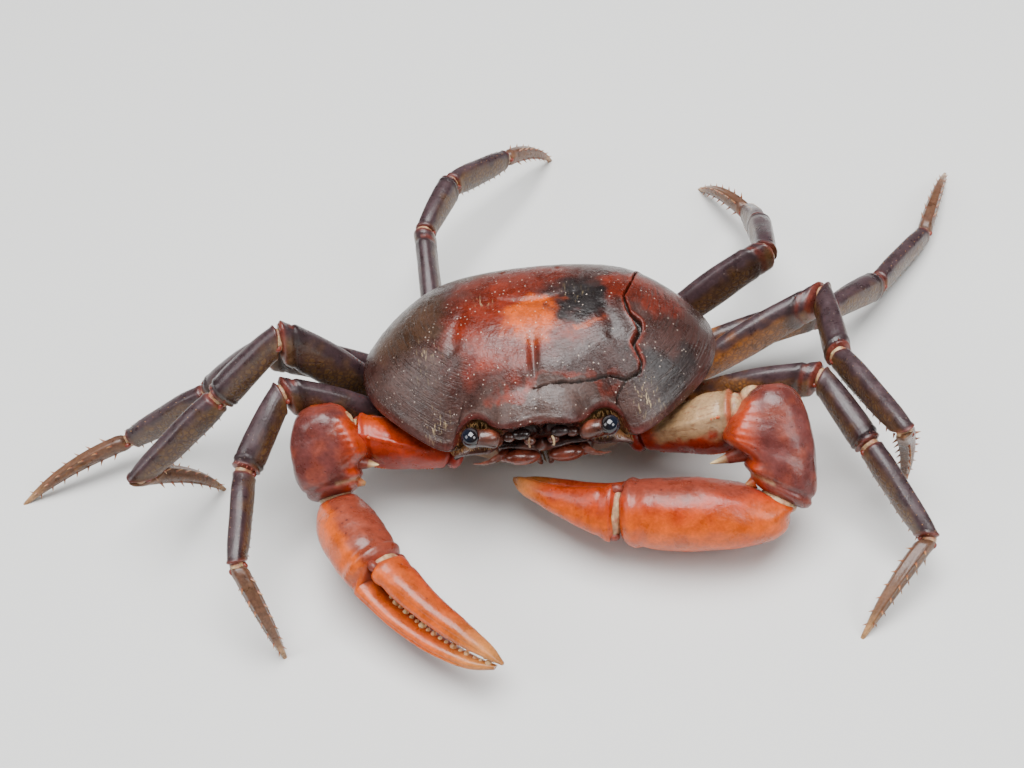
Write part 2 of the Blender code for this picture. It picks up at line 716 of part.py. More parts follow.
shell()
thorax()
abdomen()
for side in (-1, 1):
    face(side)
    cheliped(side)
    for number in LEG_LENGTHS:
        walking_leg(number, side)
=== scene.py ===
# Freshwater crab, life size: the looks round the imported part.
# Lengths are millimetres until a piece is finished, +Z is up and -Y is the way the crab faces.
import math
import random

import bmesh
import bpy
import numpy as np
from mathutils import Matrix, Vector, noise


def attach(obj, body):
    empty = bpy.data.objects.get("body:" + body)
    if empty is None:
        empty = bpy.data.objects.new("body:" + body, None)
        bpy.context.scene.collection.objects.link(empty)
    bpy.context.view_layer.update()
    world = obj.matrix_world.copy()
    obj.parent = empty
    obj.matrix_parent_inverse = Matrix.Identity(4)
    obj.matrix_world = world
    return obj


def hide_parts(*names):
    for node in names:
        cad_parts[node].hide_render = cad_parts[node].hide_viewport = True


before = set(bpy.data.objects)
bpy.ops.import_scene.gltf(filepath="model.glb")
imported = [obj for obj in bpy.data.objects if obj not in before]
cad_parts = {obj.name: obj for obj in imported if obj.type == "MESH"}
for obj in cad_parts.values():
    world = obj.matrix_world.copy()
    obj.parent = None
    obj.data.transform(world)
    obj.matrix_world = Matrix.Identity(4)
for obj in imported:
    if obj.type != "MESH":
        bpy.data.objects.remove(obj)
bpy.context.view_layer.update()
dice = random.Random(11)
mm = 0.001

# The body frame has the shell's rim at z = 0; it is pitched nose up and lifted onto the legs.
body = {"pitch": 10.0, "lift": 18.0, "middle": (-5.15, 10.13, 0.0)}

# Colours as the light sees them, red, green, blue.
paint = {
    "shellBrown": (0.037, 0.0135, 0.0105),
    "shellGrey": (0.066, 0.038, 0.031),
    "shellRed": (0.145, 0.012, 0.002),
    "shellOrange": (0.45, 0.062, 0.0005),
    "shellBlack": (0.009, 0.007, 0.007),
    "shellOlive": (0.046, 0.023, 0.007),
    "rimRed": (0.105, 0.016, 0.013),
    # Painted shade: the near-black of hollows, laid into the shell's break and into the pits under the front
    # brow.
    "hollow": (0.012, 0.007, 0.005),
    "socketTan": (0.200, 0.115, 0.040),
    "clawOrange": (0.4, 0.035, 0.0008),
    "clawBright": (0.52, 0.08, 0.0008),
    "clawRed": (0.250, 0.013, 0.0030),
    "clawRose": (0.165, 0.034, 0.021),
    "clawPurple": (0.095, 0.024, 0.022),
    "clawTip": (0.420, 0.180, 0.045),
    "bleached": (0.330, 0.210, 0.105),
    "legTop": (0.042, 0.023, 0.026),
    "legSide": (0.115, 0.058, 0.020),
    "legAmber": (0.320, 0.105, 0.014),
    "legDark": (0.018, 0.009, 0.010),
    "legRed": (0.170, 0.030, 0.017),
    "dactylTan": (0.155, 0.062, 0.030),
    "spineTan": (0.440, 0.240, 0.100),
    "skinCream": (0.460, 0.320, 0.170),
    "skinRed": (0.280, 0.070, 0.035),
    "mouthBrown": (0.105, 0.026, 0.012),
    "mouthDark": (0.022, 0.008, 0.007),
    "tooth": (0.80, 0.62, 0.30),
    "belly": (0.360, 0.230, 0.130),
    "bellyLine": (0.160, 0.085, 0.050),
    "eyeBlack": (0.006, 0.004, 0.004),
    "eyeBlue": (0.004, 0.006, 0.014),
}


def pitched(points):
    points = np.asarray(points, float)
    pitch = math.radians(body["pitch"])
    turned = points.copy()
    turned[..., 1] = points[..., 1] * math.cos(pitch) + points[..., 2] * math.sin(pitch)
    turned[..., 2] = -points[..., 1] * math.sin(pitch) + points[..., 2] * math.cos(pitch)
    return turned


def placed(points):
    return pitched(points) + np.array([0.0, 0.0, body["lift"]]) - np.array(body["middle"])


def unit(vector):
    vector = np.asarray(vector, float)
    return vector / np.linalg.norm(vector, axis=-1, keepdims=True)


def aimed(side, heading, rise):
    heading, rise = math.radians(heading), math.radians(rise)
    level = math.cos(rise)
    return np.array([side * math.cos(heading) * level, -math.sin(heading) * level, math.sin(rise)])


def upright(along):
    return unit(np.array([0.0, 0.0, 1.0]) - along[2] * along)


def eased(u, low=0.0, high=1.0):
    u = np.clip((np.asarray(u, float) - low) / (high - low), 0.0, 1.0)
    return u * u * (3 - 2 * u)


def bump(distance, width):
    return np.exp(-((np.asarray(distance, float) / width) ** 2))


# The same points on the crab's left (side 1) or its right (side -1).
def onSide(side, points):
    return np.asarray(points, float) * (side, 1, 1)


# A smooth curve through the points, with this many samples per interval.
def through(points, samples):
    points = np.asarray(points, float)
    padded = np.vstack([2 * points[0] - points[1], points, 2 * points[-1] - points[-2]])
    curve = []
    for i in range(len(points) - 1):
        before, start, end, after = padded[i : i + 4]
        for t in np.arange(samples) / samples:
            curve.append(0.5 * (
                2 * start + (end - before) * t
                + (2 * before - 5 * start + 4 * end - after) * t**2
                + (3 * start - before - 3 * end + after) * t**3
            ))
    curve.append(points[-1])
    return np.array(curve)


# Section sizes at u, smooth through the stations of the table.
def stationSizes(table, u):
    table = np.array(table, float)
    xs, ys = table[:, 0], table[:, 1:]
    slopes = np.gradient(ys, xs, axis=0)
    i = np.clip(np.searchsorted(xs, u, side="right") - 1, 0, len(xs) - 2)
    span = (xs[i + 1] - xs[i])[:, None]
    t = ((u - xs[i]) / (xs[i + 1] - xs[i]))[:, None]
    return (
        (2 * t**3 - 3 * t**2 + 1) * ys[i] + (t**3 - 2 * t**2 + t) * span * slopes[i]
        + (3 * t**2 - 2 * t**3) * ys[i + 1] + (t**3 - t**2) * span * slopes[i + 1]
    )


# Directions along, above and across a limb at each point of its path.
def limbFrame(path):
    ahead = np.vstack([path[1:2] - path[:1], path[2:] - path[:-2], path[-1:] - path[-2:-1]])
    along = unit(ahead)
    above = unit(np.array([0, 0, 1.0]) - along[:, 2:] * along)
    return along, above, np.cross(along, above)


# Unit spokes round each point of a path, at these turns.
def spokes(across, above, turn):
    return across[:, None] * np.cos(turn)[None, :, None] + above[:, None] * np.sin(turn)[None, :, None]


def mixed(a, b, share):
    share = np.clip(np.asarray(share, float), 0.0, 1.0)[..., None]
    return np.asarray(a, float) * (1 - share) + np.asarray(b, float) * share


# Soft noise from -1 to 1 at each point.
def fuzz(points, size, seed=0.0, octaves=3):
    flat = np.asarray(points, float).reshape(-1, 3)
    values = [noise.fractal(Vector(p) / size + Vector((seed, 0, 0)), 1.0, 2.0, octaves) for p in flat]
    return np.array(values).reshape(np.asarray(points).shape[:-1])


def newBmesh():
    bm = bmesh.new()
    bm.loops.layers.uv.new("UVMap")
    bm.verts.layers.float_color.new("tone")
    bm.verts.layers.float_color.new("marks")
    return bm


def tinted(bm, verts, tone, marks=(0.0, 0.0, 0.0)):
    toneLayer = bm.verts.layers.float_color["tone"]
    markLayer = bm.verts.layers.float_color["marks"]
    for vert in verts:
        vert[toneLayer] = (*tone, 1.0)
        vert[markLayer] = (*marks, 1.0)


# A grid wrapped round the rings, its seam merged and its two ends closed.
def wrapped(bm, points, tones, marks=(0.0, 0.0, 0.0)):
    count, sides = points.shape[:2]
    tones = np.broadcast_to(tones, points.shape)
    marks = np.broadcast_to(marks, points.shape)
    made = bmesh.ops.create_grid(bm, x_segments=count - 1, y_segments=sides, size=1.0, calc_uvs=True)["verts"]
    toneLayer = bm.verts.layers.float_color["tone"]
    markLayer = bm.verts.layers.float_color["marks"]
    seam = []
    for k, vert in enumerate(made):
        j, i = divmod(k, count)
        vert.co = points[i, j % sides]
        vert[toneLayer] = (*tones[i, j % sides], 1.0)
        vert[markLayer] = (*marks[i, j % sides], 1.0)
        if j in (0, sides):
            seam.append(vert)
    bmesh.ops.remove_doubles(bm, verts=seam, dist=1e-4)
    kept = [vert for vert in made if vert.is_valid]
    edges = dict.fromkeys(edge for vert in kept for edge in vert.link_edges if edge.is_boundary)
    bmesh.ops.holes_fill(bm, edges=list(edges), sides=0)


# A matrix whose Z is the axis, at the centre.
def turnTo(axis, centre, up=(0.13, 0.21, 0.97)):
    z = Vector(axis).normalized()
    x = Vector(up).cross(z).normalized()
    y = z.cross(x)
    matrix = Matrix((x, y, z)).transposed().to_4x4()
    matrix.translation = Vector(centre)
    return matrix


# A small cone from base to tip.
def thorn(bm, base, tip, radius, tone, sides=6, sharp=0.12, tipTone=None):
    base, tip = np.asarray(base, float), np.asarray(tip, float)
    length = float(np.linalg.norm(tip - base))
    made = bmesh.ops.create_cone(
        bm, cap_ends=True, segments=sides, radius1=radius, radius2=radius * sharp, depth=length,
        matrix=turnTo(tip - base, (base + tip) / 2),
    )["verts"]
    tinted(bm, made, tone)
    if tipTone is not None:
        near = [v for v in made if (Vector(tip) - v.co).length < (Vector(base) - v.co).length]
        tinted(bm, near, tipTone)


# A small ball, squashed to its radii, whose Z lies along the axis.
def bead(bm, centre, radii, tone, axis=(0, 0, 1), segments=8, rings=6, marks=(0, 0, 0)):
    matrix = turnTo(axis, centre) @ Matrix.Diagonal((*radii, 1.0))
    made = bmesh.ops.create_uvsphere(bm, u_segments=segments, v_segments=rings, radius=1.0, matrix=matrix)
    tinted(bm, made["verts"], tone, marks)
    return made["verts"]


# A bent bristle of two short cones.
def hair(bm, root, aim, length, radius, tone, bend=(0.0, 0.0, 0.0)):
    root, aim = np.asarray(root, float), unit(aim)
    knee = root + aim * length * 0.55
    tip = knee + unit(aim + np.asarray(bend)) * length * 0.45
    thorn(bm, root, knee, radius, tone, 3, 0.7)
    thorn(bm, knee, tip, radius * 0.7, tone, 3, 0.2)


def addPiece(name, bm, finish, nodes=(), sharp=50.0):
    bmesh.ops.recalc_face_normals(bm, faces=bm.faces)
    bmesh.ops.scale(bm, vec=(mm, mm, mm), verts=bm.verts)
    mesh = bpy.data.meshes.new(name)
    bm.to_mesh(mesh)
    bm.free()
    mesh.shade_smooth()
    mesh.set_sharp_from_angle(angle=math.radians(sharp))
    mesh.materials.append(finish)
    piece = bpy.data.objects.new(name, mesh)
    bpy.context.scene.collection.objects.link(piece)
    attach(piece, "root")
    if nodes:
        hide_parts(*nodes)
    return piece


def put(tree, kind, inputs=None, **settings):
    node = tree.nodes.new(kind)
    for key, value in settings.items():
        setattr(node, key, value)
    for key, value in (inputs or {}).items():
        socket = node.inputs[key]
        if isinstance(value, bpy.types.NodeSocket):
            tree.links.new(value, socket)
        else:
            socket.default_value = value
    return node


def math2(tree, operation, a, b=0.0, clamp=False):
    return put(tree, "ShaderNodeMath", {0: a, 1: b}, operation=operation, use_clamp=clamp).outputs[0]


def ranged(tree, value, low, high, bottom=0.0, top=1.0):
    inputs = {"Value": value, "From Min": low, "From Max": high, "To Min": bottom, "To Max": top}
    return put(tree, "ShaderNodeMapRange", inputs, interpolation_type="SMOOTHSTEP").outputs[0]


def colourMix(tree, share, a, b, how="MIX"):
    node = put(tree, "ShaderNodeMix", {0: share}, data_type="RGBA", blend_type=how)
    for socket, value in ((node.inputs[6], a), (node.inputs[7], b)):
        if isinstance(value, bpy.types.NodeSocket):
            tree.links.new(value, socket)
        else:
            socket.default_value = (*value, 1.0)
    return node.outputs[2]


def stretched(tree, place, scale, turn=(0.0, 0.0, 0.0)):
    inputs = {"Vector": place, "Scale": scale, "Rotation": [math.radians(a) for a in turn]}
    return put(tree, "ShaderNodeMapping", inputs).outputs[0]


# Horny shell: its own tones and marks, with mottling, dots, a net, streaks and fine relief.
def hornMaterial(name, look):
    finish = bpy.data.materials.new(name)
    finish.use_nodes = True
    tree = finish.node_tree
    shader = tree.nodes["Principled BSDF"]
    coordinates = put(tree, "ShaderNodeTexCoord")
    place, flat = coordinates.outputs["Object"], coordinates.outputs["UV"]
    tone = put(tree, "ShaderNodeAttribute", attribute_name="tone").outputs["Color"]
    marksIn = put(tree, "ShaderNodeAttribute", attribute_name="marks").outputs["Color"]
    marks = put(tree, "ShaderNodeSeparateColor", {"Color": marksIn}).outputs
    mottle = put(tree, "ShaderNodeTexNoise", {
        "Vector": place, "Scale": look["mottleScale"], "Detail": 7.0, "Roughness": 0.62,
    }).outputs["Fac"]
    fine = put(tree, "ShaderNodeTexNoise", {
        "Vector": place, "Scale": look["fineScale"], "Detail": 4.0, "Roughness": 0.6,
    }).outputs["Fac"]
    shade = ranged(tree, mottle, 0.32, 0.68, 1 - look["mottle"], 1 + look["mottle"])
    shade = math2(tree, "MULTIPLY", shade, ranged(tree, fine, 0.3, 0.7, 1 - look["fine"], 1 + look["fine"]))
    grey = put(tree, "ShaderNodeCombineColor", {0: shade, 1: shade, 2: shade}).outputs[0]
    colour = colourMix(tree, 1.0, tone, grey, "MULTIPLY")
    rough = ranged(tree, mottle, 0.3, 0.7, look["rough"] - 0.09, look["rough"] + 0.13)
    relief = math2(tree, "MULTIPLY", fine, look["grain"])
    if "net" in look:
        warp = put(tree, "ShaderNodeTexNoise", {
            "Vector": place, "Scale": look["netScale"] * 0.8, "Detail": 2.0,
        })
        push = put(tree, "ShaderNodeVectorMath", {0: warp.outputs["Color"]}, operation="SCALE")
        push.inputs["Scale"].default_value = 0.9 / look["netScale"]
        bent = put(tree, "ShaderNodeVectorMath", {0: place, 1: push.outputs[0]}, operation="ADD")
        cells = put(tree, "ShaderNodeTexVoronoi", {"Vector": bent.outputs[0], "Scale": look["netScale"]},
                    feature="DISTANCE_TO_EDGE").outputs["Distance"]
        web = ranged(tree, cells, 0.03, 0.22, 1.0, 0.0)
        share = math2(tree, "MULTIPLY", web, math2(tree, "MULTIPLY", marks[0], look["net"]))
        colour = colourMix(tree, share, colour, look["netColour"])
        relief = math2(tree, "SUBTRACT", relief, math2(tree, "MULTIPLY", share, 0.35))
    if "dots" in look:
        spots = put(tree, "ShaderNodeTexVoronoi", {"Vector": place, "Scale": look["dotScale"]})
        pick = put(tree, "ShaderNodeSeparateColor", {"Color": spots.outputs["Color"]}).outputs
        size = ranged(tree, pick[1], 0.0, 1.0, look["dotSize"] * 0.45, look["dotSize"])
        inside = math2(tree, "SUBTRACT", size, spots.outputs["Distance"])
        inside = ranged(tree, math2(tree, "DIVIDE", inside, look["dotSize"]), 0.0, 0.35)
        chosen = math2(tree, "LESS_THAN", pick[0], look["dotShare"])
        share = math2(tree, "MULTIPLY", inside, math2(tree, "MULTIPLY", chosen, look["dots"]))
        share = math2(tree, "MULTIPLY", share, marks[look["dotMark"]])
        colour = colourMix(tree, share, colour, look["dotColour"])
        relief = math2(tree, "ADD", relief, math2(tree, "MULTIPLY", share, look["dotRise"]))
    if "streaks" in look:
        lines = put(tree, "ShaderNodeTexNoise", {
            "Vector": stretched(tree, flat, look["streakScale"]), "Scale": 1.0, "Detail": 3.0,
            "Roughness": 0.6,
        }).outputs["Fac"]
        share = math2(tree, "MULTIPLY", ranged(tree, lines, 0.52, 0.66), marks[look["streakMark"]])
        share = math2(tree, "MULTIPLY", share, look["streaks"])
        colour = colourMix(tree, share, colour, look["streakColour"])
        relief = math2(tree, "SUBTRACT", relief, math2(tree, "MULTIPLY", share, 0.8))
    if "scratch" in look:
        lines = put(tree, "ShaderNodeTexNoise", {
            "Vector": stretched(tree, place, look["scratchScale"], look["scratchTurn"]), "Scale": 1.0,
            "Detail": 3.0, "Roughness": 0.7,
        }).outputs["Fac"]
        share = math2(tree, "MULTIPLY", ranged(tree, lines, 0.57, 0.68), marks[2])
        colour = colourMix(tree, share, colour, look["scratchColour"])
        rough = math2(tree, "ADD", rough, math2(tree, "MULTIPLY", share, 0.2))
    tree.links.new(colour, shader.inputs["Base Color"])
    tree.links.new(rough, shader.inputs["Roughness"])
    bumpNode = put(tree, "ShaderNodeBump", {"Height": relief, "Strength": look["relief"], "Distance": 0.0002})
    tree.links.new(bumpNode.outputs[0], shader.inputs["Normal"])
    shader.inputs["Coat Weight"].default_value = look["coat"]
    shader.inputs["Coat Roughness"].default_value = look["coatRough"]
    shader.inputs["IOR"].default_value = look.get("bend", 1.42)
    shader.inputs["Subsurface Weight"].default_value = look.get("glow", 0.0)
    shader.inputs["Subsurface Radius"].default_value = (1.0, 0.35, 0.15)
    shader.inputs["Subsurface Scale"].default_value = 0.0008
    return finish


finishes = {
    "shell": hornMaterial("shellHorn", {
        "mottleScale": 260.0, "mottle": 0.30, "fineScale": 2600.0, "fine": 0.20, "rough": 0.27, "grain": 0.60,
        "dots": 1.0, "dotScale": 1500.0, "dotSize": 0.20, "dotShare": 0.8, "dotMark": 1, "dotRise": 0.5,
        "dotColour": (0.62, 0.50, 0.42),
        "streaks": 0.75, "streakScale": (190.0, 26.0, 1.0), "streakMark": 0,
        "streakColour": (0.03, 0.014, 0.01),
        "scratch": 1.0, "scratchScale": (3600.0, 420.0, 900.0), "scratchTurn": (0.0, 0.0, 24.0),
        "scratchColour": (0.50, 0.37, 0.20), "relief": 0.75, "coat": 0.12, "coatRough": 0.16,
    }),
    "claw": hornMaterial("clawHorn", {
        "mottleScale": 330.0, "mottle": 0.22, "fineScale": 2300.0, "fine": 0.14, "rough": 0.30, "grain": 0.45,
        "dots": 0.85, "dotScale": 950.0, "dotSize": 0.20, "dotShare": 0.5, "dotMark": 1, "dotRise": -1.0,
        "dotColour": (0.075, 0.012, 0.012),
        "streaks": 0.45, "streakScale": (9.0, 60.0, 1.0), "streakMark": 0, "streakColour": (0.20, 0.07, 0.03),
        "relief": 0.60, "coat": 0.15, "coatRough": 0.14, "glow": 0.04,
    }),
    "leg": hornMaterial("legHorn", {
        "mottleScale": 420.0, "mottle": 0.26, "fineScale": 2600.0, "fine": 0.18, "rough": 0.32, "grain": 0.45,
        "net": 0.85, "netScale": 1250.0, "netColour": (0.055, 0.026, 0.02),
        "dots": 0.5, "dotScale": 1500.0, "dotSize": 0.18, "dotShare": 0.35, "dotMark": 1, "dotRise": 0.5,
        "dotColour": (0.24, 0.17, 0.13), "relief": 0.60, "coat": 0.12, "coatRough": 0.18, "glow": 0.03,
    }),
    "mouth": hornMaterial("mouthHorn", {
        "mottleScale": 500.0, "mottle": 0.30, "fineScale": 2400.0, "fine": 0.2, "rough": 0.28, "grain": 0.5,
        "dots": 0.8, "dotScale": 1100.0, "dotSize": 0.18, "dotShare": 0.35, "dotMark": 1, "dotRise": -1.0,
        "dotColour": (0.02, 0.008, 0.006), "relief": 0.6, "coat": 0.5, "coatRough": 0.12, "glow": 0.05,
    }),
    "skin": hornMaterial("jointSkin", {
        "mottleScale": 700.0, "mottle": 0.25, "fineScale": 2600.0, "fine": 0.25, "rough": 0.42, "grain": 0.8,
        "relief": 0.6, "coat": 0.15, "coatRough": 0.3, "glow": 0.2,
    }),
    "belly": hornMaterial("bellyHorn", {
        "mottleScale": 230.0, "mottle": 0.22, "fineScale": 2200.0, "fine": 0.14, "rough": 0.42, "grain": 0.4,
        "dots": 0.5, "dotScale": 800.0, "dotSize": 0.16, "dotShare": 0.4, "dotMark": 1, "dotRise": -0.8,
        "dotColour": (0.16, 0.08, 0.045), "relief": 0.4, "coat": 0.2, "coatRough": 0.25, "glow": 0.05,
    }),
    "hair": hornMaterial("bristle", {
        "mottleScale": 900.0, "mottle": 0.35, "fineScale": 3000.0, "fine": 0.2, "rough": 0.6, "grain": 0.1,
        "relief": 0.1, "coat": 0.0, "coatRough": 0.3,
    }),
    "cornea": hornMaterial("cornea", {
        "mottleScale": 900.0, "mottle": 0.25, "fineScale": 6000.0, "fine": 0.2, "rough": 0.12, "grain": 0.05,
        "relief": 0.05, "coat": 0.6, "coatRough": 0.02, "bend": 1.45,
    }),
}
print("materials ready")


shell = {
    # The oval that the rim swings about, how square it is, and the height of the dome over it.
    "width": 50.0, "front": 18.6, "rear": 17.9, "square": 2.25, "dome": 9.7,
    "floor": -6.3, "frontWall": 17.35, "rimSteps": 13, "rings": 84,
    # Half of the rim, from the middle of the front to the middle of the rear: across, along, height.
    "rim": [
        (0.0, -18.3, 1.3), (2.6, -18.8, 1.1), (4.8, -18.5, 0.7), (6.4, -17.1, 0.2), (7.8, -15.7, 0.3),
        (9.6, -15.3, 0.0), (11.3, -16.0, -1.4), (12.5, -17.4, -3.2), (15.2, -16.5, -2.9), (19.6, -13.1, -1.7),
        (23.4, -8.9, -0.7), (25.0, -4.2, 0.0), (24.7, 0.8, -0.2), (22.4, 6.4, -0.8), (18.6, 11.2, -1.6),
        (14.0, 15.0, -2.4), (9.2, 17.2, -2.8), (4.6, 17.9, -2.8), (0.0, 18.0, -2.8),
    ],
    # Under the rim: the depths of its rings, how far the wall turns in at some of them, and how far the
    # eye's socket is hollowed out.
    "wallDepths": (
        0.02, 0.05, 0.09, 0.14, 0.2, 0.27, 0.34, 0.42, 0.5, 0.57, 0.63, 0.68, 0.73, 0.78, 0.84, 0.9, 0.95,
        1.0,
    ),
    "wallInset": ((0, 0.02, 0.12, 0.38, 0.68, 1.0), (0, 0.02, 0.25, 1.5, 3.2, 5.4)),
    "socketHollow": (
        (0, 0.05, 0.2, 0.36, 0.52, 0.62, 0.70, 0.76, 0.86, 1.0),
        (0, 0.15, 2.7, 3.7, 3.3, 1.6, 0.0, 0.1, 1.4, 4.4),
    ),
    # The old break across the crab's left shoulder, its side branch, and how wide and deep it is
    # along its way.
    "crack": [
        (15.4, 6.0), (14.2, 0.9), (12.8, -2.8), (13.2, -5.6), (14.4, -7.0), (14.5, -8.1), (13.4, -9.8),
        (14.3, -11.4), (13.9, -12.4), (12.9, -12.9), (12.0, -13.3), (9.8, -13.1), (7.6, -13.7), (4.8, -14.6),
        (2.0, -14.8), (-0.3, -15.0),
    ],
    "branch": [(12.2, -13.2), (11.3, -14.1), (10.8, -14.4), (10.4, -15.1)],
    "crackWidth": ((0, 0.2, 0.26, 0.34, 0.5, 0.7, 1.0), (0.12, 0.2, 0.42, 0.30, 0.17, 0.16, 0.08)),
    "crackDepth": ((0, 0.3, 0.5, 1.0), (0.7, 1.3, 0.7, 0.5)),
    # Worn, scratched spots: x, y, how flat, radius, strength.
    "worn": [
        (-14.0, -15.2, 1.3, 1.5, 1.0), (14.6, -14.4, 1.1, 1.6, 1.0), (5.7, -1.6, 1.0, 1.5, 0.75),
        (-6.7, -1.6, 1.0, 1.5, 0.75), (-14.5, -8.5, 0.6, 1.5, 0.55),
    ],
    # Coloured patches: x, y, half width, half length, colour, strength.
    "patches": [
        (0.0, -15.9, 13.0, 2.6, "shellGrey", 0.75),
        (-17.5, -11.5, 7.5, 5.5, "shellGrey", 0.45),
        (17.0, -14.6, 6.0, 2.2, "shellGrey", 0.45),
        (-3.8, -5.6, 8.6, 7.4, "shellRed", 0.95),
        (5.4, -8.0, 4.2, 2.6, "shellRed", 0.5),
        (-1.0, 3.5, 8.5, 4.5, "shellRed", 0.55),
        (11.8, -1.5, 1.9, 5.0, "shellRed", 0.75),
        (17.2, -0.5, 4.6, 3.6, "shellRed", 0.55),
        (-17.5, -1.5, 5.5, 6.0, "shellOlive", 0.5),
        (-9.0, 10.5, 9.0, 5.5, "shellOlive", 0.6),
        (8.4, 9.5, 7.0, 4.0, "shellOlive", 0.6),
        (7.0, -2.6, 4.3, 4.4, "shellBlack", 0.95),
        (10.6, -6.2, 2.6, 3.4, "shellBlack", 0.5),
        (18.0, -12.0, 4.4, 3.2, "shellBlack", 0.8),
        (13.6, -11.5, 1.6, 3.0, "shellBlack", 0.6),
        (-14.5, -13.5, 3.0, 1.8, "shellBlack", 0.25),
        (-2.7, -14.4, 2.9, 0.8, "shellRed", 0.8),
        (3.6, -13.7, 2.6, 0.8, "shellRed", 0.8),
        (8.6, -14.0, 2.2, 0.7, "shellRed", 0.4),
        (0.2, -5.4, 3.9, 3.7, "shellOrange", 1.0),
        (7.2, -7.6, 1.2, 0.8, "shellOrange", 0.6),
        (-8.5, -9.6, 1.2, 1.0, "rimRed", 0.5),
    ],
}


def ovalRadius(angle):
    along = np.where(np.sin(angle) > 0, shell["rear"], shell["front"])
    across, square = shell["width"] / 2, shell["square"]
    spread = np.abs(np.cos(angle) / across) ** square + np.abs(np.sin(angle) / along) ** square
    return spread ** (-1 / square)


# The back of the shell above its rim: the dome with its lobes, crests and grooves.
def crownHeight(x, y, inward):
    forward = eased((-y - 2.0) / 16.0) * bump(x, 17.0)
    rearward = eased((y + 1.0) / 15.0) * bump(x, 24.0)
    sharp = 2.9 - 1.15 * forward - 0.9 * rearward
    fall = 0.66 + 0.2 * forward + 0.42 * rearward
    dome = shell["dome"] * np.maximum(0.0, 1 - inward**sharp) ** fall
    ax = np.abs(x)
    lobes = 0.55 * bump(np.hypot(ax - 12.5, y - 1.0), 7.5)
    crest = 0.75 * bump(y + 12.6 + 0.03 * x * x, 1.9) * bump(x, 8.0)
    furrow = -0.85 * bump(x, 0.62) * bump(y + 12.9, 2.4) - 0.25 * bump(x - 0.1, 0.8) * bump(y + 9.6, 1.6)
    step = -0.28 * bump(y + 14.9 + 0.012 * x * x, 0.7) * bump(x, 7.5)
    groove = -0.34 * bump(y + 1.6 + 0.9 * np.cos(ax / 3.0), 0.75) * bump(x, 7.0)
    neck = -0.42 * bump(np.hypot(ax - 6.2, (y + 1.3) * 0.55), 1.1)
    neck = neck - 0.30 * bump(ax - 6.0 - 0.16 * (y + 2), 0.8) * bump(y - 2.5, 3.2)
    cheek = -0.26 * bump(ax - 10.6 + 0.30 * (y + 7.0), 0.9) * bump(y + 6.0, 4.6)
    heart = 0.22 * bump(np.hypot(x, y - 3.0), 4.2)
    dimple = -0.28 * bump(np.hypot(ax - 10.6, y + 9.0), 0.55) - 0.2 * bump(np.hypot(ax - 4.0, y - 5.5), 0.5)
    tail = -0.25 * bump(y - 12.6, 0.8) * bump(x, 9.0)
    detail = lobes + crest + furrow + step + groove + neck + cheek + heart + dimple + tail
    return dome + detail * (1 - inward**6)


# Distance of each point to a broken line, and how far along it the nearest point is.
def lineDistance(x, y, line):
    best = np.full(x.shape, 1e9)
    along = np.zeros(x.shape)
    for i in range(len(line) - 1):
        ax, ay = line[i]
        bx, by = line[i + 1]
        t = np.clip(((x - ax) * (bx - ax) + (y - ay) * (by - ay)) / ((bx - ax) ** 2 + (by - ay) ** 2), 0, 1)
        d = np.hypot(x - ax - t * (bx - ax), y - ay - t * (by - ay))
        along = np.where(d < best, (i + t) / (len(line) - 1), along)
        best = np.minimum(best, d)
    return best, along


# The values round the closed rim, smoothed over this many neighbours.
def softened(values, width):
    spread = np.arange(-3 * width, 3 * width + 1)
    weights = bump(spread, width)
    return sum(w * np.roll(values, k, axis=0) for k, w in zip(spread, weights / weights.sum()))


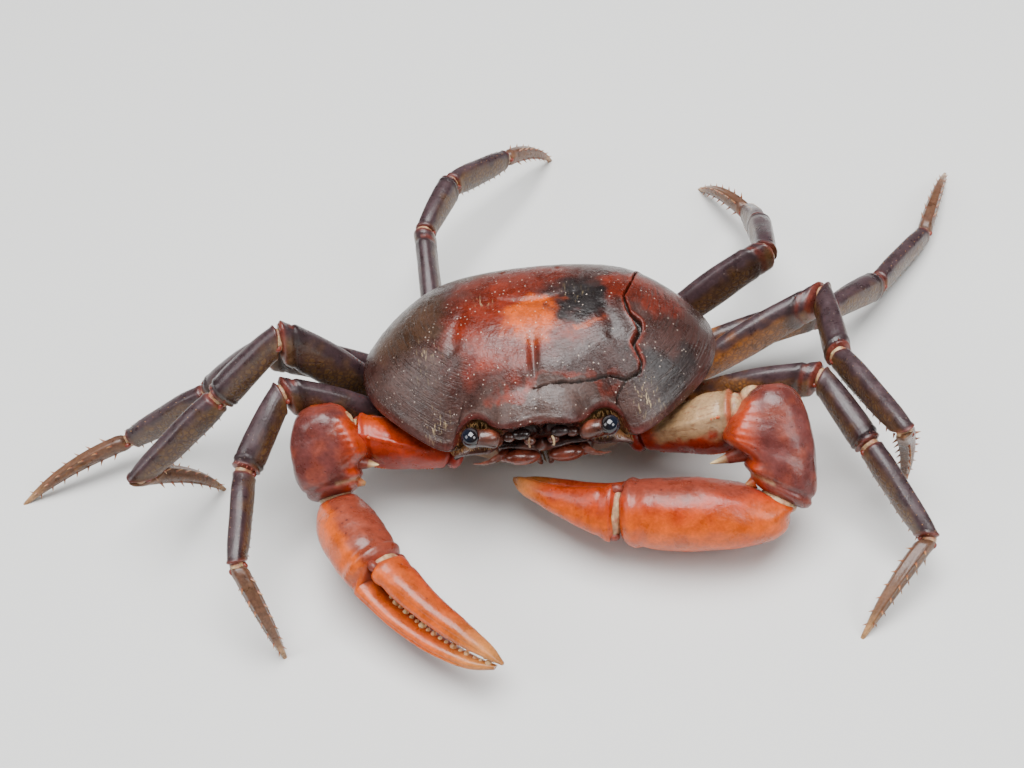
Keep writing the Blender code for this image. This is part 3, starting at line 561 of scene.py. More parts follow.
def shellPiece():
    half = through(shell["rim"], shell["rimSteps"])
    rim = np.vstack([half, (half * (-1, 1, 1))[-2:0:-1]])
    reach = np.hypot(rim[:, 0], rim[:, 1])
    heading = rim[:, :2] / reach[:, None]
    oval = ovalRadius(np.arctan2(rim[:, 1], rim[:, 0]))
    ax = np.abs(rim[:, 0])
    frontal = (rim[:, 1] < -9).astype(float)
    rings, zones = [], []
    beads = 0.5 + 0.5 * np.cos(np.arange(len(rim)) * 2 * math.pi / 3.0)
    sideRim = eased(ax, 12.5, 14.5) * eased(-rim[:, 1], -7.0, -1.0)
    exact = np.column_stack([reach - oval, rim[:, 2]])
    soft = softened(exact, 9)
    for inward in np.linspace(0.012, 1.0, shell["rings"]) ** 0.86:
        blend, near = eased(inward, 0.60, 0.97), eased(inward, 0.84, 1.0)
        step, rise = ((soft * (1 - near) + exact * near) * blend).T
        radius = inward * (oval + step)
        x, y = heading[:, 0] * radius, heading[:, 1] * radius
        z = crownHeight(x, y, inward) + rise
        edge = bump(inward - 0.985, 0.011)
        z = z + edge * (0.09 + 0.04 * frontal + 0.13 * beads * sideRim)
        z = z - 0.07 * bump(inward - 0.945, 0.02) * (0.4 + sideRim)
        rings.append(np.stack([x, y, z], -1))
        zones.append(np.stack([np.zeros(len(rim)), np.full(len(rim), inward), np.zeros(len(rim))], -1))
    # Under the rim the wall turns in; the eye's socket is hollowed into it, with a lower rim of its own.
    socket = eased(ax, 5.6, 7.2) * (1 - eased(ax, 11.9, 12.9)) * frontal
    brow = (1 - eased(ax, 5.0, 6.4)) * frontal
    septum = bump(ax, 0.7) * frontal
    toFront = shell["frontWall"] / np.maximum(np.abs(heading[:, 1]), 0.4)
    for depth in shell["wallDepths"]:
        inset = np.interp(depth, *shell["wallInset"])
        hollow = np.interp(depth, *shell["socketHollow"])
        plain = reach - inset
        share = eased(depth, 0.5, 0.68)
        cave = reach * (1 - share) + toFront * share - hollow
        under = plain - 1.9 * bump(depth - 0.42, 0.26) * (1 - 0.75 * septum)
        radius = plain * (1 - socket) + cave * socket
        radius = radius * (1 - brow) + under * brow
        z = rim[:, 2] + (shell["floor"] - rim[:, 2]) * depth
        lift = 0.35 * bump(depth - 0.7, 0.05) * socket
        rings.append(np.stack([heading[:, 0] * radius, heading[:, 1] * radius, z + lift], -1))
        zones.append(np.stack([np.full(len(rim), depth), socket, brow], -1))
    points, zones = np.array(rings), np.array(zones)
    # Until it is coloured, each vertex carries where it lies: how far out on the back, or how deep
    # under the rim and in which zone.
    bm = newBmesh()
    wrapped(bm, points, (0.1, 0.05, 0.04), zones)
    places = np.array([v[bm.verts.layers.float_color["marks"]][:3] for v in bm.verts])
    # Finer faces along the break.
    co = np.array([v.co for v in bm.verts])
    bm.verts.index_update()
    near, _ = lineDistance(co[:, 0], co[:, 1], shell["crack"])
    nearBranch, _ = lineDistance(co[:, 0], co[:, 1], shell["branch"])
    close = (np.minimum(near, nearBranch) < 0.75) & (places[:, 0] == 0)
    edges = [e for e in bm.edges if close[e.verts[0].index] and close[e.verts[1].index]]
    bmesh.ops.subdivide_edges(bm, edges=edges, cuts=2, use_grid_fill=True)
    return bm


def shellColours(bm):
    bm.verts.index_update()
    co = np.array([v.co for v in bm.verts], float)
    x, y = co[:, 0], co[:, 1]
    toneLayer = bm.verts.layers.float_color["tone"]
    markLayer = bm.verts.layers.float_color["marks"]
    depth, zone, brow = np.array([v[markLayer][:3] for v in bm.verts]).T
    back = depth <= 0.0
    warp = np.stack([fuzz(co, 5.0, 3.0), fuzz(co, 5.0, 17.0)], -1)
    tight = fuzz(co, 1.6, 41.0)
    wx, wy = x + warp[:, 0] * 2.6 + tight * 0.7, y + warp[:, 1] * 2.6 + tight * 0.7
    tone = np.tile(paint["shellBrown"], (len(co), 1))
    for px, py, rx, ry, name, strength in shell["patches"]:
        far = np.hypot((wx - px) / rx, (wy - py) / ry)
        tone = mixed(tone, paint[name], strength * (1 - eased(far, 0.55, 1.25)))
    tone = tone * (1 + 0.16 * warp[:, :1] + 0.10 * tight[:, None])
    # The rim is redder, above all round the eye sockets.
    edge = np.where(back, np.clip((zone - 0.978) / 0.018, 0, 1), 1.0)
    socketRim = eased(-y, 13.0, 15.5) * (1 - eased(np.abs(x), 13.0, 14.5)) * eased(np.abs(x), 5.2, 6.6)
    tone = mixed(tone, paint["rimRed"], edge * (0.35 + 0.5 * socketRim))
    # The break itself, painted near-black as shade inside its gap, with a redder torn lip.
    gap, along = lineDistance(x, y, shell["crack"])
    split, _ = lineDistance(x, y, shell["branch"])
    wander = 0.10 * fuzz(co, 0.7, 77.0)
    width = np.interp(along, *shell["crackWidth"])
    torn = 1 - eased(gap + wander, width * 0.55, width * 1.25)
    dark = back * np.maximum(torn, 0.8 * (1 - eased(split + wander, 0.05, 0.16)))
    lip = back * bump(gap - width * 1.6, 0.22) * (1 - eased(along, 0.45, 0.6))
    tone = mixed(tone, paint["shellRed"], 0.8 * lip)
    # Painted shade: the break's sunken gap is darkened to near-black.
    tone = mixed(tone, paint["hollow"], dark)
    sink = -0.75 * dark * np.interp(along, *shell["crackDepth"]) + 0.14 * lip
    # The walls: brown cheeks, tan hairy sockets, darker from the sockets' lower rims down, and painted shade
    # in the pits under the front brow.
    wall = mixed(paint["shellBrown"], paint["clawRed"], 0.25 + 0.2 * tight)
    inSocket = np.where(back, 0.0, zone)
    browShadeZone = np.where(back, 0.0, brow)
    wall = mixed(wall, paint["socketTan"], inSocket * bump(depth - 0.42, 0.2) * 1.3)
    wall = mixed(wall, paint["rimRed"], inSocket * bump(depth - 0.02, 0.05))
    wall = mixed(wall, paint["mouthDark"], inSocket * eased(depth, 0.64, 0.72) * 0.7)
    # Painted shade: near-black in the recess under the front brow, where the inner feelers fold.
    wall = mixed(wall, paint["hollow"], browShadeZone * bump(depth - 0.42, 0.3))
    tone = np.where(back[:, None], tone, wall)
    sideways = np.abs(x) / 25 + 0.15 * (x < 0)
    streak = back * (0.15 + 0.85 * eased(sideways, 0.45, 0.75) * eased(zone, 0.35, 0.7))
    streak = streak * (1 - 0.6 * eased(-y, 10.0, 15.0))
    dots = back * (0.35 + 0.65 * bump(np.hypot(x - 2, y + 5), 14.0)) * (1 - dark)
    scratch = np.zeros(len(co))
    for wornX, wornY, flat, radius, strength in shell["worn"]:
        spot = bump(np.hypot(x - wornX, (y - wornY) * flat), radius)
        scratch = np.maximum(scratch, strength * spot * back)
    rough = 0.035 * fuzz(co, 0.9, 5.0) * back
    for k, vert in enumerate(bm.verts):
        vert[toneLayer] = (*tone[k], 1.0)
        vert[markLayer] = (streak[k], dots[k], scratch[k], 1.0)
        vert.co.z += sink[k] + rough[k]


# Moves a piece made in the body frame to where the body stands.
def setInPlace(bm):
    spots = placed(np.array([v.co for v in bm.verts], float))
    for vert, spot in zip(bm.verts, spots):
        vert.co = spot


bm = shellPiece()
shellColours(bm)
# A row of pearly grains stands on the side rims.
halfRim = through(shell["rim"], 30)
for side in (-1, 1):
    for px, py, pz in halfRim[8 * 30 : 12 * 30 : 6]:
        spot = (side * (px - 0.16), py + 0.12, pz + 0.06)
        bead(bm, spot, (0.17, 0.17, 0.14), paint["rimRed"], segments=6, rings=4)
setInPlace(bm)
addPiece("shellPlate", bm, finishes["shell"], ["carapace"], 60)
print("shell ready")


face = {
    "eye": (9.3, -17.75, -1.0), "eyeRadii": (1.45, 1.35, 1.35), "stalkRoot": (5.6, -17.0, -2.7),
    "stalkRadius": 1.12,
    "antenna": [(6.0, -18.6, -4.2), (6.9, -19.6, -3.9), (8.0, -20.6, -3.3), (9.1, -21.4, -2.5)],
    "antennaRadius": ((0, 0.33, 0.34, 0.66, 0.67, 1.0), (0.55, 0.42, 0.33, 0.25, 0.18, 0.05)),
    # The inner feeler's folded joints, place and radii, and the flick at its end.
    "folds": [
        ((2.6, -16.9, -1.9), (0.85, 0.75, 1.35)), ((4.3, -16.8, -2.3), (0.8, 0.7, 0.9)),
        ((1.6, -17.2, -3.0), (0.6, 0.6, 0.8)),
    ],
    "flick": [(1.5, -17.8, -1.9), (1.7, -18.2, -2.4), (1.6, -18.3, -3.1)],
    # The jaw-foot: share of its length, half width and half thickness; its upper lobes; the rod outside.
    "plate": [(0.0, 2.3, 0.5), (0.12, 2.6, 0.75), (0.5, 2.8, 0.85), (0.88, 2.3, 0.7), (1.0, 1.6, 0.5)],
    "lobes": [((3.1, -15.9, -6.8), (1.3, 1.1, 2.5)), ((5.3, -15.3, -6.9), (1.0, 0.9, 1.2))],
    "rod": [(6.2, -12.6, -7.4), (6.3, -11.2, -9.4), (6.0, -9.9, -11.6)],
}


def sideName(side):
    return "left" if side > 0 else "right"


def eyePieces(side):
    name = sideName(side)
    eye, root = placed(onSide(side, face["eye"])), placed(onSide(side, face["stalkRoot"]))
    aim = unit(eye - root)
    bm = newBmesh()
    toneLayer = bm.verts.layers.float_color["tone"]
    for vert in bead(bm, eye, face["eyeRadii"], paint["eyeBlack"], aim, 40, 26):
        facing = (vert.co - Vector(eye)).normalized().dot(Vector(aim))
        vert[toneLayer] = (*mixed(paint["eyeBlack"], paint["eyeBlue"], eased(facing, 0.0, 0.8)), 1.0)
    addPiece(f"cornea_{name}", bm, finishes["cornea"], [f"eye_{name}"])

    # The stalk: a stout bent pillar with a collar round the cornea and a knob behind, paler on its top as a
    # painted highlight.
    knee = root + (eye - root) * 0.35 + pitched((0, -0.1, 0.35))
    path = through([root, knee, eye - aim * 0.9, eye - aim * 0.15], 7)
    u = np.linspace(0, 1, len(path))
    along, bodyUp = unit(np.gradient(path, axis=0)), pitched((0, 0, 1))
    above = unit(bodyUp - (along @ bodyUp)[:, None] * along)
    swell = 1.0 + 0.16 * bump(u - 0.32, 0.22) + 0.16 * bump(u - 0.8, 0.12)
    swell = swell - 0.22 * bump(u - 1.0, 0.1) - 0.3 * bump(u, 0.1)
    turn = np.arange(30) * 2 * math.pi / 30
    ring = spokes(np.cross(along, above), above, turn)
    points = path[:, None] + ring * (face["stalkRadius"] * swell)[:, None, None]
    grain = fuzz(points, 0.8, 9.0)
    points = points + ring * (0.04 * grain)[..., None]
    tone = 0.7 * mixed(paint["mouthBrown"], paint["shellBrown"], 0.45 + 0.6 * grain)
    # Painted highlight: paler skin red on the top of the knob.
    pale = bump(u[:, None] - 0.3, 0.12) * eased(np.sin(turn)[None], 0.45, 0.98)
    tone = mixed(tone, paint["skinRed"], 0.5 * pale)
    tone = mixed(tone, paint["mouthDark"], 0.7 * eased(u[:, None] - 0.02 * grain, 0.86, 0.97))
    bm = newBmesh()
    wrapped(bm, points, tone)
    addPiece(f"eyeStalk_{name}", bm, finishes["mouth"], [f"eye_stalk_{name}"])

    # Short tan bristles line the socket, and a row stands on its lower rim.
    bm = newBmesh()
    rim = through(shell["rim"], 24)
    for row, reach in ((0, 0.5), (1, 1.3), (2, 2.1)):
        for px, py, pz in rim[4 * 24 - 10 : 7 * 24 - 4 : 3]:
            shift = dice.uniform(-0.25, 0.25)
            low = placed((side * (px + shift), py + 0.5 + 0.35 * row, pz - 0.5 - reach))
            lean = pitched((side * dice.uniform(-0.5, 0.5), -1.0, dice.uniform(-0.55, 0.1)))
            length = dice.uniform(0.5, 0.95)
            tone = mixed(paint["socketTan"], paint["spineTan"], 0.6 * dice.random())
            hair(bm, low, lean, length, 0.05, tone, (0, 0, -0.4))
    for px in np.linspace(6.7, 12.3, 46):
        low = placed((side * px, -16.55 - dice.uniform(0.0, 0.5), -4.15 - 0.6 * eased(px, 9.0, 12.5)))
        lean = pitched((side * dice.uniform(-0.3, 0.3), -0.25, 1.0))
        length = dice.uniform(0.7, 1.3)
        tone = mixed(paint["socketTan"], paint["spineTan"], dice.random())
        hair(bm, low, lean, length, 0.055, tone, (0, 0.3, 0))
    addPiece(f"socketBristles_{name}", bm, finishes["hair"])


def feelerPieces(side):
    name = sideName(side)
    path = through(placed(onSide(side, face["antenna"])), 7)
    u = np.linspace(0, 1, len(path))
    _, above, across = limbFrame(path)
    radius = np.interp(u, *face["antennaRadius"]) * (1 + 0.12 * np.cos(u * 75) * (u > 0.5))
    ring = spokes(across, above, np.arange(14) * 2 * math.pi / 14)
    points = path[:, None] + ring * radius[:, None, None]
    tone = mixed(paint["mouthDark"], paint["mouthBrown"], 0.3 + 0.7 * u[:, None] * np.ones((1, 14)))
    bm = newBmesh()
    wrapped(bm, points, tone)
    addPiece(f"feeler_{name}", bm, finishes["mouth"], [f"antenna_{name}"])

    # The folded inner feelers sit in their pits under the front.
    bm = newBmesh()
    for k, (spot, radii) in enumerate(face["folds"]):
        tone = mixed(paint["mouthDark"], paint["mouthBrown"], 0.35 * k)
        bead(bm, placed(onSide(side, spot)), radii, tone, (1, 0, 0), 16, 12)
    flick = through(placed(onSide(side, face["flick"])), 4)
    tone = mixed(paint["skinCream"], paint["mouthBrown"], 0.35 - 0.35 * side)
    for a, b in zip(flick[:-1], flick[1:]):
        thorn(bm, a, b + (b - a) * 0.15, 0.17, tone, 8, 0.92)
    addPiece(f"innerFeeler_{name}", bm, finishes["mouth"])


# The outer jaw-foot: a bulging plate in two parts, with a curled palp inside and a rod outside.
def mouthPlate(side):
    name = sideName(side)
    table = np.array(face["plate"])
    u = np.linspace(0, 1, 34)
    half, thick = (np.interp(u, table[:, 0], table[:, k]) for k in (1, 2))
    middle = np.stack([np.full(34, side * 3.15), -13.9 + 4.4 * u, -6.7 - 6.2 * u], -1)
    normal = unit([0.0, -6.2, -4.4])
    turn = np.arange(36) * 2 * math.pi / 36
    c, s = np.cos(turn), np.sin(turn)
    across = np.sign(c) * np.abs(c) ** 0.6
    joint = bump(u - 0.36, 0.025)
    swell = (1 - 0.5 * joint)[:, None] * (1 + 0.25 * bump(u - 0.18, 0.12)[:, None] * np.clip(s, 0, 1)[None])
    points = middle[:, None] + np.zeros((1, 36, 3))
    points[..., 0] += across[None] * half[:, None] * (1 - 0.06 * joint)[:, None]
    points = points + normal * (thick[:, None] * s[None] * swell)[..., None]
    grain = fuzz(points, 1.1, 3.0)
    tone = mixed(paint["mouthBrown"], paint["clawRed"], 0.45 + 0.5 * grain)
    groove = bump(across[None] + side * 0.35, 0.12) * (u[:, None] > 0.4)
    tone = mixed(tone, paint["mouthDark"], 0.85 * joint[:, None] + 0.35 * groove)
    bm = newBmesh()
    wrapped(bm, placed(points), tone, (0.0, 1.0, 0.0))
    # The bulging upper lobes meet under the lip.
    lobeTone = mixed(paint["mouthBrown"], paint["clawRed"], 0.2)
    for spot, radii in face["lobes"]:
        bead(bm, placed(onSide(side, spot)), radii, lobeTone, (1, 0, 0.05 * side), 32, 20, (0, 1, 0))
    for k in range(3):
        spot = placed((side * (1.0 - 0.1 * k), -15.2 + 0.2 * k, -7.3 - 0.8 * k))
        bead(bm, spot, (0.45, 0.4, 0.7), paint["mouthBrown"], pitched((side * 0.3, -0.3, 1)), 14, 10)
    rod = placed(through(onSide(side, face["rod"]), 6))
    for a, b in zip(rod[:-1], rod[1:]):
        thorn(bm, a, b + (b - a) * 0.2, 0.55, paint["mouthBrown"], 12, 0.97)
    addPiece(f"mouthPlate_{name}", bm, finishes["mouth"], [f"maxilliped_{name}"])
    bm = newBmesh()
    for v in np.linspace(0, 1, 30):
        low = placed((side * (0.45 + 0.1 * dice.random()), -14.3 + 4.2 * v, -6.9 - 5.9 * v))
        hair(bm, low, pitched((-side * 0.5, -0.8, -0.2)), dice.uniform(0.5, 0.9), 0.05, paint["socketTan"])
    addPiece(f"mouthBristles_{name}", bm, finishes["hair"])


# The plate over the mouth, with the middle tooth that the feelers' pits meet at.
def lipPiece():
    xs = np.linspace(-6.2, 6.2, 60)
    ax = np.abs(xs)
    low = -5.7 + 0.2 * np.cos(ax * 1.5)
    high = -4.7 + 1.2 * bump(ax, 0.65) + 0.25 * bump(ax - 3.2, 1.2)
    front = -16.3 - 0.9 * bump(ax, 1.0) + 0.02 * ax**2
    turn = np.arange(16) * 2 * math.pi / 16
    points = np.zeros((60, 16, 3))
    points[..., 0] = xs[:, None]
    points[..., 1] = front[:, None] + 0.81 * (1 - np.cos(turn))[None]
    points[..., 2] = ((low + high) / 2)[:, None] + ((high - low) / 2)[:, None] * np.sin(turn)[None]
    grain = fuzz(points, 0.9, 23.0)
    tone = mixed(paint["mouthDark"], paint["mouthBrown"], 0.25 + 0.5 * grain)
    bm = newBmesh()
    wrapped(bm, points + grain[..., None] * 0.05, tone)
    setInPlace(bm)
    addPiece("mouthLip", bm, finishes["mouth"])


for side in (-1, 1):
    eyePieces(side)
    feelerPieces(side)
    mouthPlate(side)
lipPiece()
print("face ready")


legs = {
    "lengths": {2: (19.4, 12.0, 14.5, 15.5), 3: (23.6, 12.5, 16.0, 17.5),
                4: (24.5, 13.0, 17.5, 19.0), 5: (22.0, 12.0, 15.0, 16.0)},
    "hips": {2: (20.5, -3.4), 3: (20.5, 1.5), 4: (20.0, 7.0), 5: (16.5, 13.0)},
    "raisedHip": {(3, -1): (23.0, 2.4)},
    "rootY": {2: -4.2, 3: 0.6, 4: 5.8, 5: 10.9},
    "hipZ": -9.5, "thoraxSide": 13.2, "thoraxLean": 1.6 / 21.4,
    # Heading and rise of merus, carpus and propodus, then the heading of the dactylus.
    "poses": {
        (2, -1): ((8, 36), (57, -27), (91, -6), 120), (3, -1): ((20, 57), (20, -33), (30, -26), -132),
        (4, -1): ((13, 35), (-2, -39), (2, -28), 21), (5, -1): ((-86, 19), (-111, 2), (-129, -17), -126),
        (2, 1): ((8, 14), (66, -12), (65, -21), 135), (3, 1): ((-18, 17), (90, 3), (70, 4), -54),
        (4, 1): ((-11, 4), (-42, -18), (-51, -9), -65), (5, 1): ((-10, 32), (-86, -22), (-89, -33), -115),
    },
    "bow": 1.3,
    # Half sizes above, below, in front and behind, at stations along each segment.
    "coxa": [(0.0, 2.4, 2.4, 2.2, 2.2), (1.0, 2.3, 2.3, 2.0, 2.0)],
    "merus": [(0.0, 2.1, 2.1, 1.8, 1.8), (0.14, 2.3, 2.3, 1.8, 1.8), (0.3, 2.7, 2.6, 1.9, 1.9),
              (0.55, 3.2, 2.8, 1.9, 1.9), (0.78, 3.0, 2.6, 1.8, 1.8), (0.93, 2.7, 2.6, 1.8, 1.8),
              (1.0, 2.3, 2.3, 1.6, 1.6)],
    "carpus": [(0.0, 1.9, 1.8, 1.5, 1.5), (0.16, 2.3, 1.8, 1.6, 1.6), (0.55, 2.6, 2.0, 1.8, 1.8),
               (0.88, 2.5, 2.2, 1.8, 1.8), (1.0, 2.1, 2.0, 1.6, 1.6)],
    "propodus": [(0.0, 1.9, 1.8, 1.4, 1.4), (0.14, 2.3, 2.1, 1.5, 1.5), (0.5, 2.2, 2.1, 1.5, 1.5),
                 (0.9, 1.8, 1.8, 1.3, 1.3), (1.0, 1.5, 1.5, 1.1, 1.1)],
    "dactylus": [(0.0, 1.2, 1.2, 1.0, 1.0), (0.12, 1.4, 1.3, 1.1, 1.1), (0.3, 1.3, 1.2, 1.05, 1.05),
                 (0.5, 1.1, 1.0, 0.9, 0.9), (0.7, 0.85, 0.8, 0.75, 0.75), (0.85, 0.6, 0.6, 0.55, 0.55),
                 (0.94, 0.42, 0.42, 0.4, 0.4), (1.0, 0.32, 0.32, 0.32, 0.32)],
    "rings": {"merus": 64, "carpus": 46, "propodus": 52, "dactylus": 58},
    "sides": 36, "square": 0.82, "gap": 0.3,
    # Where a dark ring stands on each part, and how amber the left legs' first parts are.
    "darkRing": {"merus": 0.86, "carpus": 0.9, "propodus": 0.93}, "amber": {2: 0.5, 3: 1.2, 4: 0.9, 5: 0.0},
}


def sectionOffsets(sizes, above, across, sides, square):
    turn = 2 * math.pi * (np.arange(sides) + 0.5) / sides
    c, s = np.cos(turn), np.sin(turn)
    wide = np.where(c > 0, sizes[:, 2:3], sizes[:, 3:4]) * np.sign(c) * np.abs(c) ** square
    tall = np.where(s > 0, sizes[:, 0:1], sizes[:, 1:2]) * np.sign(s) * np.abs(s) ** square
    return across[:, None] * wide[..., None] + above[:, None] * tall[..., None], c[None], s[None]


# Slides each section point along the limb, so that the ends lie in their planes.
def mitred(path, offsets, along, u, start=None, end=None, pull=1.0):
    shift = np.zeros(offsets.shape[:2])
    for plane, weight, sign in ((start, (1 - u) ** pull, 1), (end, u**pull, -1)):
        if plane is not None:
            normal, short = plane
            slope = along @ normal
            shift += weight[:, None] * (sign * short - offsets @ normal) / slope[:, None]
    return path[:, None] + offsets + along[:, None] * shift[..., None]


def legJoints(number, side):
    hipX, hipY = legs["raisedHip"].get((number, side), legs["hips"][number])
    rootY = legs["rootY"][number]
    rootX = legs["thoraxSide"] - (rootY + 7.9) * legs["thoraxLean"]
    root = placed((side * rootX, rootY, legs["hipZ"] - 0.4))
    joints, aims = [placed((side * hipX, hipY, legs["hipZ"]))], []
    *poses, lastHeading = legs["poses"][number, side]
    lengths = legs["lengths"][number]
    for pose, length in zip(poses, lengths):
        aims.append(aimed(side, *pose))
        joints.append(joints[-1] + aims[-1] * length)
    aims.append(aimed(side, lastHeading, -math.degrees(math.asin(joints[-1][2] / lengths[3]))))
    joints.append(joints[-1] + aims[-1] * lengths[3])
    coxaAim = unit(joints[0] - root)
    planes = [unit(coxaAim + aims[0])] + [unit(aims[i] + aims[i + 1]) for i in range(3)]
    wall = unit(pitched((side * 1.0, legs["thoraxLean"], 0.0)))
    return root, joints, planes, wall


# The soft skin in a joint: a squat cushion in the joint's plane.
def jointSkin(bm, spot, plane, above, sizes, swell=1.0, thick=1.15):
    tall, wide = (sizes[0] + sizes[1]) / 2, (sizes[2] + sizes[3]) / 2
    centre = spot + np.array(above) * (sizes[0] - sizes[1]) / 2
    radii = (wide * 0.9 * swell, tall * 0.9 * swell, thick * swell, 1.0)
    matrix = turnTo(plane, centre, above) @ Matrix.Diagonal(radii)
    made = bmesh.ops.create_uvsphere(bm, u_segments=28, v_segments=14, radius=1.0, matrix=matrix)["verts"]
    toneLayer = bm.verts.layers.float_color["tone"]
    co = np.array([v.co for v in made])
    grain = fuzz(co, 0.8, 13.0)
    for vert, shade in zip(made, mixed(paint["skinCream"], paint["skinRed"], 0.35 + 0.9 * grain)):
        vert[toneLayer] = (*shade, 1.0)
        vert.co += (vert.co - Vector(spot)) * 0.04 * noise.noise(vert.co * 1.7)


# Purple-brown above, netted amber on the flanks, painted shade below, dark rings and red rims at the joints.
def legTone(part, number, side, u, c, s, points):
    grain = fuzz(points, 2.2, number * 3.0 + side, 2)
    fineGrain = fuzz(points, 0.7, number * 5.0 + side, 2)
    top = eased(s + 0.35 * grain, 0.25, 0.85)
    flank = paint["legSide"]
    amber = legs["amber"][number] * (part == "merus" and side > 0)
    if amber:
        flank = mixed(paint["legSide"], paint["legAmber"], amber * (1.1 - 0.9 * u))
        top = eased(s + 0.3 * grain + 0.5 * u, 0.8, 1.2)
    tone = mixed(flank, paint["legTop"], top)
    # Painted shade: the undersides are darkened towards the top's purple-brown.
    tone = mixed(tone, paint["legTop"], 0.55 * eased(-s, 0.45, 0.95))
    if part == "dactylus":
        tone = mixed(paint["legSide"], paint["dactylTan"], 0.6 + 0.3 * grain)
        tone = mixed(tone, paint["legTop"], 0.5 * top * (1 - u))
        tone = mixed(tone, paint["spineTan"], eased(u, 0.72, 0.98) * 0.8)
        tone = mixed(tone, paint["legDark"], 0.5 * bump(u - 0.97, 0.03))
    else:
        dark = bump(u - legs["darkRing"][part] - 0.02 * grain, 0.055) * (0.5 if part == "propodus" else 0.8)
        tone = mixed(tone, paint["legDark"], dark)
        tone = mixed(tone, paint["legRed"], 0.8 * bump(u - 0.985, 0.025) + 0.65 * bump(u, 0.035))
        if part == "merus":
            tone = mixed(tone, paint["legRed"], 0.5 * bump(u - 0.90, 0.02) * (c > -0.2))
    tone = tone * (1 + 0.22 * fineGrain[..., None])
    net = (1 - top) * eased(u, 0.03, 0.15) * (1 - eased(u, 0.84, 0.92))
    net = net * (0.55 if part == "dactylus" else 1.0) * (1 - 0.4 * min(amber, 1.0))
    marks = np.stack(np.broadcast_arrays(net, 0.4 + 0.5 * top, np.zeros_like(top)), -1)
    return tone, marks


# How far the surface stands out: keels, gutters and swollen joint rims.
def legRelief(part, u, c, s):
    rim = 0.16 * bump(u - 0.965, 0.02) + 0.12 * bump(u - 0.045, 0.022)
    shrink = -0.42 * (1 - eased(u, 0.0, 0.03)) - 0.38 * eased(u, 0.975, 1.0)
    if part == "merus":
        keel = 0.34 * bump(s - 1, 0.10) * eased(u, 0.1, 0.3) * (1 - eased(u, 0.86, 0.93))
        gutter = -0.22 * bump(u - 0.885, 0.016) - 0.16 * bump(np.abs(c) - 0.98, 0.14) * bump(u - 0.5, 0.4)
        return rim + shrink + keel + gutter
    if part == "carpus":
        keel = 0.16 * bump(np.abs(c) - 0.62, 0.10) * (s > 0) * bump(u - 0.5, 0.35)
        ring = 0.2 * bump(u - 0.90, 0.02) - 0.14 * bump(u - 0.945, 0.012)
        return rim + shrink + keel + ring
    if part == "propodus":
        keel = 0.15 * bump(np.abs(c) - 0.5, 0.09) - 0.10 * bump(np.abs(c) - 0.9, 0.16)
        return rim + shrink + keel * bump(u - 0.5, 0.42)
    keel = 0.10 * np.cos(6 * np.arctan2(s, c)) * bump(u - 0.45, 0.35)
    return keel + 0.10 * bump(u - 0.07, 0.03) - 0.3 * (1 - eased(u, 0.0, 0.03))


def legSegment(bm, part, number, side, a, b, start, end):
    evenly = np.linspace(0, 1, legs["rings"][part])
    u = np.sort(np.concatenate([evenly, (0.01, 0.02, 0.03, 0.97, 0.98, 0.99)]))
    path = a + (b - a) * u[:, None]
    pull = 1.0
    if part == "dactylus":
        path = path + upright(unit(b - a)) * (legs["bow"] * 4 * u * (1 - u))[:, None]
        pull = 5.0
    along, above, across = limbFrame(path)
    sizes = stationSizes(legs[part], u)
    offsets, c, s = sectionOffsets(sizes, above, across, legs["sides"], legs["square"])
    outward = unit(offsets)
    relief = legRelief(part, u[:, None], c, s)
    offsets = offsets + outward * relief[..., None]
    points = mitred(path, offsets, along, u, start, end, pull)
    tone, marks = legTone(part, number, side, u[:, None], c, s, points)
    wrapped(bm, points, tone, marks)
    return u, path, along, above, across, sizes


# A made limb's middle at this share of its length, the way along it, and the reach from there to its
# surface, by shares across and up.
def reachOut(made, at, x, y):
    u, path, along, above, across, sizes = made
    k = int(np.argmin(np.abs(u - at)))
    tall, wide = sizes[k][0 if y > 0 else 1], sizes[k][2 if x > 0 else 3]
    return path[k], along[k], above[k] * y * tall + across[k] * x * wide


# Rows of small spines: on the merus keel, the carpus ring, the propodus edges and the dactylus.
def legSpines(bm, part, made):
    def stand(at, x, y, length, radius, lean=0.35, tip="spineTan"):
        middle, ahead, reach = reachOut(made, at, x, y)
        base = middle + reach * 0.93
        point = base + unit(unit(reach) + ahead * lean) * length
        thorn(bm, base, point, radius, paint["legRed"], 6, 0.14, paint[tip])

    if part == "merus":
        for at in np.linspace(0.18, 0.84, 22):
            stand(at, 0.0, 1.06, 0.34, 0.17, 0.5, "legRed")
    elif part == "carpus":
        for turn in np.linspace(0.15, math.pi - 0.15, 9):
            stand(0.905, math.cos(turn), math.sin(turn), 0.42, 0.15, 1.6, "legRed")
    elif part == "propodus":
        for at in np.linspace(0.14, 0.93, 9):
            for x in (-0.5, 0.5):
                stand(at, x, -0.86, 0.75, 0.19)
                stand(at + 0.03, x * 0.8, 0.9, 0.42, 0.15)
    else:
        for at in np.linspace(0.14, 0.86, 7):
            shrink = 1.0 - 0.45 * at
            for x, y in ((-0.72, 0.72), (0.72, 0.72), (-0.72, -0.72), (0.72, -0.72)):
                stand(at + 0.03 * (x > 0), x, y, 1.15 * shrink, 0.24 * shrink, 0.75)


